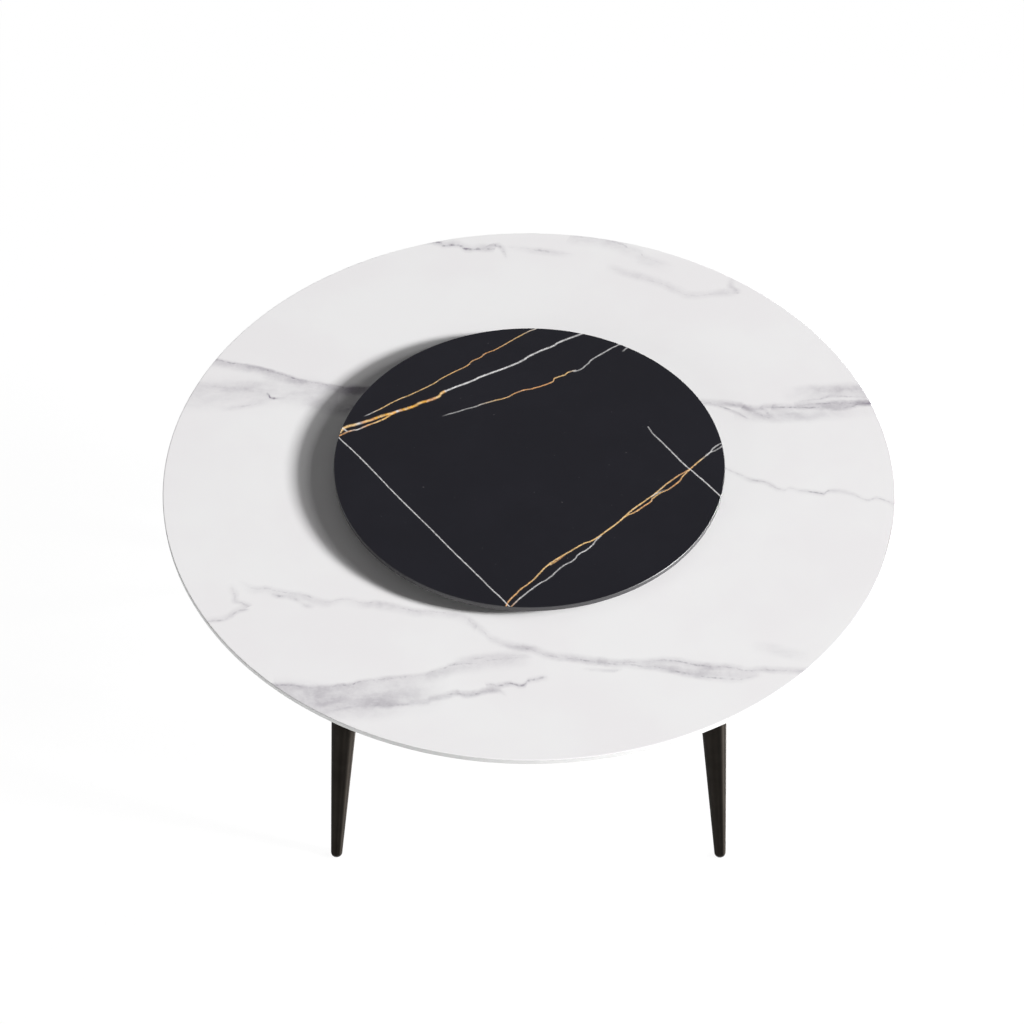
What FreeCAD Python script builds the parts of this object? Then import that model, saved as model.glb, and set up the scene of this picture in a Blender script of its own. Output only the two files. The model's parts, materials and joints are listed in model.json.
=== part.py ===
import FreeCAD, Part
import math
import os

# Round dining table with a turntable.
# A stone slab lies on a welded steel frame. Four splayed tapered legs are bolted under the frame,
# each on a screw-in glide, and a second slab turns on a ball-bearing ring in the middle.
# Lengths are millimetres. Z points up from the floor, the front is towards -Y, and the turntable
# turns about the Z axis.

# Table top
top_diameter = 1500.0
top_height = 750.0
top_thickness = 12.0
top_edge_radius = 1.5

# Turntable slab
turntable_diameter = 800.0
turntable_thickness = 11.0
turntable_edge_bevel = 1.0

# Ball-bearing ring under the turntable
ball_pitch_diameter = 360.0
ball_diameter = 8.0
ball_count = 24
ball_clearance = 0.2
ring_width = 19.0
ring_height = 16.0
ring_gap = 2.0
ring_step_height = 2.0
ring_edge_bevel = 1.2
cage_clearance = 0.4
cage_web_width = 2.0
base_pad_diameter = 14.0
base_pad_thickness = 3.0
base_pad_count = 8
slab_pad_diameter = 14.0
slab_pad_thickness = 3.0
slab_pad_count = 8
plug_clearance = 0.05
plug_slot_width = 1.2
plug_slot_depth = 1.0

# Welded frame of rectangular tube
beam_width = 50.0
beam_height = 30.0
beam_tail_length = 10.0
rail_width = 30.0
rail_clearance = 2.0
tube_wall_thickness = 2.0
tube_corner_radius = 3.0
cross_plate_size = 160.0
cross_plate_thickness = 5.0
frame_pad_diameter = 28.0
frame_pad_thickness = 3.0
beam_pad_shares = (0.12, 0.4, 0.68, 0.96)
cap_thickness = 3.0
cap_plug_depth = 14.0
cap_clearance = 0.2

# Leg and the two plates that join it to the frame
leg_inset = 168.5
leg_splay_degrees = 6.5
leg_foot_diameter = 24.5
leg_top_diameter = 70.0
leg_swell_depth = 0.3
leg_wall_thickness = 2.0
flange_thickness = 6.0
mount_plate_thickness = 6.0
mount_plate_step_width = 5.0
plate_corner_radius = 12.0

# Bolts between the two plates
bolt_diameter = 8.0
bolt_length = 22.0
bolt_side_gap = 17.0
bolt_edge_margin = 13.0
bolt_hole_clearance = 0.5
bolt_head_width = 13.0
bolt_head_height = 5.3
washer_diameter = 16.0
washer_thickness = 1.6
nut_height = 6.5
thread_clearance = 0.05

# Screw-in glide and the insert that it screws into
glide_height = 8.0
glide_seat_gap = 0.3
glide_setback = 0.25
glide_round_share = 0.75
glide_travel = 10.0
stud_diameter = 8.0
stud_engagement_length = 12.0
stud_embed_share = 0.6
stud_chamfer_length = 1.0
stud_clearance = 0.08
insert_length = 26.0
insert_clearance = 0.05

# Extra reach of every cutting solid
overrun = 5.0

# Corners of the table, as the angle from the X axis
corner_angles = {"front_left": 225, "front_right": 315, "back_right": 45, "back_left": 135}
side_angles = {"front": 0, "right": 90, "back": 180, "left": 270}

# Levels, from the table top down to the floor and up to the turntable
top_bottom = top_height - top_thickness
beam_top = top_bottom - frame_pad_thickness
beam_bottom = beam_top - beam_height
mount_bottom = beam_bottom - mount_plate_thickness
flange_bottom = mount_bottom - flange_thickness
outer_ring_bottom = top_height + base_pad_thickness
outer_ring_top = outer_ring_bottom + ring_height
inner_ring_bottom = outer_ring_bottom + ring_step_height
inner_ring_top = inner_ring_bottom + ring_height
ball_level = (inner_ring_bottom + outer_ring_top) / 2
turntable_bottom = inner_ring_top + slab_pad_thickness

# Radii and places that several pieces share
ball_circle = ball_pitch_diameter / 2
groove_radius = ball_diameter / 2 + ball_clearance
outer_ring_inner = ball_circle + ring_gap / 2
outer_ring_outer = outer_ring_inner + ring_width
inner_ring_outer = ball_circle - ring_gap / 2
inner_ring_inner = inner_ring_outer - ring_width
leg_slope = math.tan(math.radians(leg_splay_degrees))
foot_circle = top_diameter / 2 - leg_inset
leg_top_circle = foot_circle - (flange_bottom - glide_height) * leg_slope
bolt_offset = beam_width / 2 + bolt_side_gap
flange_size = 2 * (bolt_offset + bolt_edge_margin)
mount_plate_size = flange_size + 2 * mount_plate_step_width
bolt_hole_radius = bolt_diameter / 2 + bolt_hole_clearance
rail_inner = (leg_top_circle + 2 * bolt_offset) / math.sqrt(2) + washer_diameter / 2 + rail_clearance
rail_middle = rail_inner + rail_width / 2
beam_reach = (rail_inner + rail_width) * math.sqrt(2) + beam_tail_length

ORIGIN = FreeCAD.Vector(0, 0, 0)
X_AXIS = FreeCAD.Vector(1, 0, 0)
Y_AXIS = FreeCAD.Vector(0, 1, 0)
Z_AXIS = FreeCAD.Vector(0, 0, 1)


def at(x, y, z):
    return FreeCAD.Vector(x, y, z)


def turned(shape, degrees):
    """A copy of the shape, turned about the table's own axis."""
    copy = shape.copy()
    copy.rotate(ORIGIN, Z_AXIS, degrees)
    return copy


def on_circle(shape, count):
    """Copies of the shape, spread evenly round the table's own axis."""
    return [turned(shape, 360 * index / count) for index in range(count)]


def closed_edges(shape):
    return [edge for edge in shape.Edges if edge.isClosed()]


def edges_along(shape, axis):
    """The straight edges of a block that run along one axis."""
    found = []
    for edge in shape.Edges:
        run = edge.Vertexes[-1].Point - edge.Vertexes[0].Point
        if abs(run.dot(axis)) > edge.Length / 2:
            found.append(edge)
    return found


def ring(outer, inner, bottom, top):
    """A flat ring about the table's own axis."""
    body = Part.makeCylinder(outer, top - bottom, at(0, 0, bottom))
    return body.cut(Part.makeCylinder(inner, top - bottom + 2 * overrun, at(0, 0, bottom - overrun)))


def block(length, width, height, x, z):
    """A block that starts at x and z and is centred on the X axis."""
    return Part.makeBox(length, width, height, at(x, -width / 2, z))


def tube(start, end, width):
    """A rectangular steel tube along X, at the level of the frame."""
    bar = block(end - start, width, beam_height, start, beam_bottom)
    bar = bar.makeFillet(tube_corner_radius, edges_along(bar, X_AXIS))
    bore_width = width - 2 * tube_wall_thickness
    bore_height = beam_height - 2 * tube_wall_thickness
    bore_bottom = beam_bottom + tube_wall_thickness
    return bar.cut(block(end - start + 2 * overrun, bore_width, bore_height, start - overrun, bore_bottom))


def square_plate(size, thickness, x, bottom):
    """A square plate with rounded corners, centred on x."""
    plate = block(size, size, thickness, x - size / 2, bottom)
    return plate.makeFillet(plate_corner_radius, edges_along(plate, Z_AXIS))


def hexagon(flats, height, x, y, bottom):
    """A hexagonal prism, such as a nut or a bolt head."""
    corner = flats / math.sqrt(3)
    points = []
    for index in range(7):
        angle = math.radians(60 * index)
        points.append(at(x + corner * math.cos(angle), y + corner * math.sin(angle), bottom))
    return Part.Face(Part.makePolygon(points)).extrude(Z_AXIS * height)


def bolt_places():
    """The four bolts of one leg, about the middle of its top."""
    signs = [(-1, -1), (-1, 1), (1, -1), (1, 1)]
    return [(leg_top_circle + sx * bolt_offset, sy * bolt_offset) for sx, sy in signs]


def drilled(plate, radius):
    """The plate with the four bolt holes of one leg."""
    for x, y in bolt_places():
        depth = plate.BoundBox.ZLength + 2 * overrun
        plate = plate.cut(Part.makeCylinder(radius, depth, at(x, y, plate.BoundBox.ZMin - overrun)))
    return plate


def table_top():
    slab = Part.makeCylinder(top_diameter / 2, top_thickness, at(0, 0, top_bottom))
    return slab.makeFillet(top_edge_radius, closed_edges(slab))


def turntable_slab():
    slab = Part.makeCylinder(turntable_diameter / 2, turntable_thickness, at(0, 0, turntable_bottom))
    return slab.makeChamfer(turntable_edge_bevel, closed_edges(slab))


def bevelled_ring(outer, inner, bottom, rim_radius):
    """One ring of the bearing, with the ball groove and with bevels at the rim away from the balls."""
    body = ring(outer, inner, bottom, bottom + ring_height)
    rims = [edge for edge in closed_edges(body) if abs(edge.Curve.Radius - rim_radius) < ring_width / 2]
    body = body.makeChamfer(ring_edge_bevel, rims)
    return body.cut(Part.makeTorus(ball_circle, groove_radius, at(0, 0, ball_level)))


def plug_bore(radius, start, end):
    return Part.makeCylinder(radius, end - start, at(start, 0, ball_level), X_AXIS)


def bearing_outer_ring():
    """The fixed ring, with the hole at its side through which the balls are filled in."""
    body = bevelled_ring(outer_ring_outer, outer_ring_inner, outer_ring_bottom, outer_ring_outer)
    return body.cut(plug_bore(groove_radius, ball_circle, outer_ring_outer + overrun))


def bearing_inner_ring():
    return bevelled_ring(inner_ring_outer, inner_ring_inner, inner_ring_bottom, inner_ring_inner)


def ball_fill_plug():
    """The slotted plug that shuts the filling hole, clear of the groove."""
    start = ball_circle + groove_radius + ball_clearance
    plug = plug_bore(groove_radius - plug_clearance, start, outer_ring_outer)
    slot_length = 2 * groove_radius
    slot_bottom = ball_level - groove_radius
    slot = block(plug_slot_depth + overrun, plug_slot_width, slot_length,
                 outer_ring_outer - plug_slot_depth, slot_bottom)
    return plug.cut(slot)


def bearing_balls():
    ball = Part.makeSphere(ball_diameter / 2, at(ball_circle, 0, ball_level))
    return on_circle(ball, ball_count)


def ball_cage():
    """The thin band between the rings, with a window for each ball."""
    half_height = ball_diameter / 2 + cage_web_width
    outer = outer_ring_inner - cage_clearance
    inner = inner_ring_outer + cage_clearance
    band = ring(outer, inner, ball_level - half_height, ball_level + half_height)
    window = plug_bore(groove_radius, ball_circle - ring_gap, ball_circle + ring_gap)
    return band.cut(Part.makeCompound(on_circle(window, ball_count)))


def bearing_base_pads():
    """Rubber feet between the table top and the fixed ring."""
    middle = outer_ring_inner + ring_width / 2
    pad = Part.makeCylinder(base_pad_diameter / 2, base_pad_thickness, at(middle, 0, top_height))
    return on_circle(pad, base_pad_count)


def turntable_bond_pads():
    """Silicone pads that bond the turning ring to the slab."""
    middle = inner_ring_inner + ring_width / 2
    pad = Part.makeCylinder(slab_pad_diameter / 2, slab_pad_thickness, at(middle, 0, inner_ring_top))
    return on_circle(pad, slab_pad_count)


def half_beam(degrees):
    """A beam from the middle of the frame to one corner, butted against the through beam."""
    return turned(tube(beam_width / 2, beam_reach, beam_width), degrees)


def rail(degrees):
    """A side rail, mitred at both ends to the sides of the diagonal beams."""
    inner = rail_middle - rail_width
    outer = rail_middle + rail_width
    corner = beam_width / math.sqrt(2)
    bar = tube(-outer, outer, rail_width)
    bar.translate(at(0, -rail_middle, 0))
    outline = [at(-inner + corner, -inner, beam_bottom), at(inner - corner, -inner, beam_bottom),
               at(outer - corner, -outer, beam_bottom), at(-outer + corner, -outer, beam_bottom)]
    wedge = Part.Face(Part.makePolygon(outline + outline[:1])).extrude(Z_AXIS * beam_height)
    return turned(bar.common(wedge), degrees)


def beam_end_cap():
    """The plastic plug in the open end of a beam."""
    face = block(cap_thickness, beam_width, beam_height, beam_reach, beam_bottom)
    face = face.makeFillet(tube_corner_radius, edges_along(face, X_AXIS))
    gap = tube_wall_thickness + cap_clearance
    plug = block(cap_plug_depth, beam_width - 2 * gap, beam_height - 2 * gap,
                 beam_reach - cap_plug_depth, beam_bottom + gap)
    return face.fuse(plug).removeSplitter()


def top_bond_pads():
    """Silicone pads between the frame and the table top, on the beams and on the rails."""
    def pad(x):
        return Part.makeCylinder(frame_pad_diameter / 2, frame_pad_thickness, at(x, 0, beam_top))
    pads = []
    for degrees in corner_angles.values():
        pads += [turned(pad(share * beam_reach), degrees) for share in beam_pad_shares]
    for degrees in side_angles.values():
        pads.append(turned(pad(rail_middle), degrees))
    return pads


def cross_plate():
    """The plate welded under the crossing of the beams."""
    return turned(square_plate(cross_plate_size, cross_plate_thickness, 0,
                               beam_bottom - cross_plate_thickness), corner_angles["back_right"])


def leg_blank(inset):
    """The leg's tapered, slightly swelling form, drawn in by an inset and leaning on its splay."""
    lean = math.cos(math.radians(leg_splay_degrees))
    length = (flange_bottom - glide_height) / lean
    spare = leg_top_diameter * leg_slope
    taper = (leg_top_diameter - leg_foot_diameter) / 2 / length
    low = at(leg_foot_diameter / 2 - inset - taper * spare, 0, -spare)
    high = at(leg_top_diameter / 2 - inset + taper * spare, 0, length + spare)
    middle = (low + high) * 0.5 + X_AXIS * leg_swell_depth
    side = Part.Arc(low, middle, high).toShape()
    low_centre = at(0, 0, low.z)
    high_centre = at(0, 0, high.z)
    ends = [Part.makeLine(high, high_centre), Part.makeLine(high_centre, low_centre),
            Part.makeLine(low_centre, low)]
    form = Part.Face(Part.Wire([side] + ends)).revolve(ORIGIN, Z_AXIS, 360)
    form.rotate(ORIGIN, Y_AXIS, -leg_splay_degrees)
    form.translate(at(foot_circle, 0, glide_height))
    return form


def between(shape, bottom, top):
    """The part of a shape that lies between two levels."""
    box = shape.BoundBox
    layer = Part.makeBox(box.XLength + 2 * overrun, box.YLength + 2 * overrun, top - bottom,
                         at(box.XMin - overrun, box.YMin - overrun, bottom))
    return shape.common(layer)


def leg():
    """The hollow leg, cut level at the glide and at the flange."""
    return between(leg_blank(0).cut(leg_blank(leg_wall_thickness)), glide_height, flange_bottom)


def leg_flange():
    """The plate welded on top of the leg."""
    return drilled(square_plate(flange_size, flange_thickness, leg_top_circle, flange_bottom),
                   bolt_hole_radius)


def leg_mount_plate():
    """The plate welded under the beam, which takes the leg's flange."""
    return drilled(square_plate(mount_plate_size, mount_plate_thickness, leg_top_circle, mount_bottom),
                   bolt_hole_radius)


def leg_bolt(x, y):
    head_top = flange_bottom - washer_thickness
    head = hexagon(bolt_head_width, bolt_head_height, x, y, head_top - bolt_head_height)
    return head.fuse(Part.makeCylinder(bolt_diameter / 2, bolt_length, at(x, y, head_top)))


def leg_washer(x, y):
    bottom = flange_bottom - washer_thickness
    disc = Part.makeCylinder(washer_diameter / 2, washer_thickness, at(x, y, bottom))
    return disc.cut(Part.makeCylinder(bolt_hole_radius, washer_thickness, at(x, y, bottom)))


def leg_weld_nut(x, y):
    nut = hexagon(bolt_head_width, nut_height, x, y, beam_bottom)
    hole_radius = bolt_diameter / 2 + thread_clearance
    return nut.cut(Part.makeCylinder(hole_radius, nut_height, at(x, y, beam_bottom)))


def for_each_bolt(make):
    """One fastener at every bolt of every leg."""
    fasteners = []
    for degrees in corner_angles.values():
        fasteners += [turned(make(x, y), degrees) for x, y in bolt_places()]
    return fasteners


def foot_insert():
    """The threaded plug pressed into the lower end of the leg."""
    blank = leg_blank(leg_wall_thickness + insert_clearance)
    plug = between(blank, glide_height, glide_height + insert_length)
    bore = Part.makeCylinder(stud_diameter / 2 + stud_clearance, insert_length + 2 * overrun,
                             at(foot_circle, 0, glide_height - overrun))
    return plug.cut(bore)


def glide_stud():
    """The screw of the glide, moulded into the pad."""
    pad_top = glide_height - glide_seat_gap
    bottom = pad_top * (1 - stud_embed_share)
    length = pad_top - bottom + glide_seat_gap + glide_travel + stud_engagement_length
    stud = Part.makeCylinder(stud_diameter / 2, length, at(foot_circle, 0, bottom))
    tip = max(closed_edges(stud), key=lambda edge: edge.BoundBox.ZMin)
    return stud.makeChamfer(stud_chamfer_length, [tip])


def glide_pad():
    """The rounded pad that stands on the floor."""
    radius = leg_foot_diameter / 2 - glide_setback
    pad_top = glide_height - glide_seat_gap
    pad = Part.makeCylinder(radius, pad_top, at(foot_circle, 0, 0))
    rim = min(closed_edges(pad), key=lambda edge: edge.BoundBox.ZMin)
    pad = pad.makeFillet(glide_round_share * min(radius, pad_top), [rim])
    return pad.cut(glide_stud())


def save(name, solids):
    """Write one named piece, or a group of like pieces, and stop on a bad solid."""
    shape = Part.makeCompound(solids) if isinstance(solids, list) else solids
    if not shape.isValid() or not shape.Solids:
        raise ValueError("bad shape: " + name)
    shape.exportStep("parts/" + name + ".step")


def build():
    os.makedirs("parts", exist_ok=True)
    save("table_top", table_top())
    save("top_bond_pads", top_bond_pads())
    save("diagonal_beam", turned(tube(-beam_reach, beam_reach, beam_width), corner_angles["back_right"]))
    for corner in ("front_right", "back_left"):
        save("half_beam_" + corner, half_beam(corner_angles[corner]))
    for side, degrees in side_angles.items():
        save("rail_" + side, rail(degrees))
    save("cross_plate", cross_plate())
    save("beam_end_caps", [turned(beam_end_cap(), degrees) for degrees in corner_angles.values()])
    corner_pieces = {"leg_mount_plate": leg_mount_plate(), "leg_flange": leg_flange(), "leg": leg(),
                     "foot_insert": foot_insert(), "glide_stud": glide_stud(), "glide_pad": glide_pad()}
    for piece, shape in corner_pieces.items():
        for corner, degrees in corner_angles.items():
            save(piece + "_" + corner, turned(shape, degrees))
    save("leg_bolts", for_each_bolt(leg_bolt))
    save("leg_bolt_washers", for_each_bolt(leg_washer))
    save("leg_weld_nuts", for_each_bolt(leg_weld_nut))
    save("bearing_base_pads", bearing_base_pads())
    save("bearing_outer_ring", bearing_outer_ring())
    save("ball_fill_plug", ball_fill_plug())
    save("bearing_balls", bearing_balls())
    save("ball_cage", ball_cage())
    save("bearing_inner_ring", bearing_inner_ring())
    save("turntable_bond_pads", turntable_bond_pads())
    save("turntable_slab", turntable_slab())


build()
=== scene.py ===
import json
import math
from typing import NamedTuple

import bmesh
import bpy
from bpy.props import FloatProperty, FloatVectorProperty, IntProperty, PointerProperty
from bpy.types import Operator, Panel, PropertyGroup
from mathutils import Matrix, Vector


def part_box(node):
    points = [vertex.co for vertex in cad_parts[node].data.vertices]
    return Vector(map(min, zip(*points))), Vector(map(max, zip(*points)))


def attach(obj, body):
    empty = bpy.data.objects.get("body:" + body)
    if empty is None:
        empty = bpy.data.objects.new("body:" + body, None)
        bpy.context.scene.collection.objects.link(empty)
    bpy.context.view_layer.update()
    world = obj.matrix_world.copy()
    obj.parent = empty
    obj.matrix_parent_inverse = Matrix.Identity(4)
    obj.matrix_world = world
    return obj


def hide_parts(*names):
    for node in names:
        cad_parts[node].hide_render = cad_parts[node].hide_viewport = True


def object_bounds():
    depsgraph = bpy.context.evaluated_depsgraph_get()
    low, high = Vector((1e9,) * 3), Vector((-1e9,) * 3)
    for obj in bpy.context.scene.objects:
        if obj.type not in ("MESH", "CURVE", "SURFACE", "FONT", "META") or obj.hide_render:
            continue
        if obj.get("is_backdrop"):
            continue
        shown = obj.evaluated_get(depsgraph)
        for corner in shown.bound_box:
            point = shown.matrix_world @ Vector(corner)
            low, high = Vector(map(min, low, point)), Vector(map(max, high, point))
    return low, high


bl_info = {
    "name": "Dining Table with Turntable",
    "version": (1, 0, 0),
    "blender": (4, 5, 0),
    "location": "View3D > Sidebar > Table",
    "description": "Models and finishes a round stone dining table, its turntable, legs and ironwork",
    "category": "Object",
}

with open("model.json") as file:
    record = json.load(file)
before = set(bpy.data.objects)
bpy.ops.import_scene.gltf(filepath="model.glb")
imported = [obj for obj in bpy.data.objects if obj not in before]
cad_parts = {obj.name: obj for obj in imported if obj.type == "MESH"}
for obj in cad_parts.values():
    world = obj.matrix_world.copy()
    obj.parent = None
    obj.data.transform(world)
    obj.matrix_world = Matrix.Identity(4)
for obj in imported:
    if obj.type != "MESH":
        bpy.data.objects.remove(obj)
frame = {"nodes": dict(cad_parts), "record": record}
cad_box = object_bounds()

MILLIMETRE = 0.001
MERGE_DISTANCE = 0.00001
QUARTER_TURN = math.pi / 2
CORNERS = ("front_left", "front_right", "back_right", "back_left")
HEXAGON_SIDES = 6
WHITE = (1, 1, 1, 1)
# Circular section of a bevel, and the faces across a small one
ROUND_PROFILE = 0.5
BEVEL_STEPS = 2
# Turns of thread that are wound beyond a stud's length and cut off again
SPARE_TURNS = 3
# Shares of a straight bead's ripple at which its crest and its neck lie
RIPPLE_CREST = 0.3
RIPPLE_NECK = 0.9
# Points along a ripple of a ring of bead, and the share of the ripple that is pressed in
RIPPLE_POINTS = 3
RIPPLE_PRESSED = 0.3
# How far a slab's faces point up, at most, where they count as its cut edge and as its underside
EDGE_LIMIT = 0.8
BACK_LIMIT = -0.9
# Widths of the rings on a slab's faces, as shares of its radius
RING_SHARES = (0.05, 0.25, 0.25, 0.25)
# Levels of noise between which patches fade
SOFT_NOISE = (0.35, 0.65)
WIDE_NOISE = (0.3, 0.7)
# How far the slabs' middle lies from the point that the veins were measured from, in millimetres
VEIN_SHIFT = Vector((-1.6, 0.5))
# Share of a vein's run in which each end fades
VEIN_FADE = 0.002


class Finish(NamedTuple):
    """A painted, moulded or plated finish. Grain and depth are those of its fine bumps, in metres."""

    tone: tuple
    roughness: float
    grain: float
    depth: float
    metallic: int = 0


FINISHES = {
    "glide_plastic": Finish((0.02, 0.0185, 0.017), 0.5, 0.0006, 0.00004),
    "stud_zinc": Finish((0.62, 0.62, 0.6), 0.32, 0.0008, 0.00001, 1),
    "bolt_zinc": Finish((0.6, 0.6, 0.58), 0.35, 0.0008, 0.00001, 1),
    "foot_rubber": Finish((0.022, 0.022, 0.022), 0.7, 0.0007, 0.00005),
    "weld_paint": Finish((0.02, 0.02, 0.02), 0.5, 0.0011, 0.00006),
    "frame_powder_coat": Finish((0.02, 0.02, 0.02), 0.55, 0.0011, 0.00006),
    "zinc_plate": Finish((0.62, 0.62, 0.6), 0.32, 0.0008, 0.00001, 1),
    "cap_plastic": Finish((0.025, 0.025, 0.025), 0.5, 0.0006, 0.00004),
    "ball_steel": Finish((0.74, 0.74, 0.75), 0.12, 0.0005, 0.000002, 1),
    "cage_nylon": Finish((0.8, 0.78, 0.72), 0.45, 0.0008, 0.00002),
}


class Vein(NamedTuple):
    """One vein of a slab: points it passes, in millimetres from the middle, and its look on the way.

    Each stop gives a share of the run, a colour and a strength there. Core is the half width of the
    vein's own line, and halo the reach of its smoke to the left and right, in millimetres too. Haze is
    the strength of that smoke against the line's."""

    points: tuple
    stops: tuple
    core: float
    halo: tuple = (0, 0)
    haze: float = 0


def grey(*strengths):
    """Stops of a grey vein, with its strengths spread evenly along the run."""
    last = len(strengths) - 1
    return tuple((index / last, "grey", strength) for index, strength in enumerate(strengths))


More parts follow.
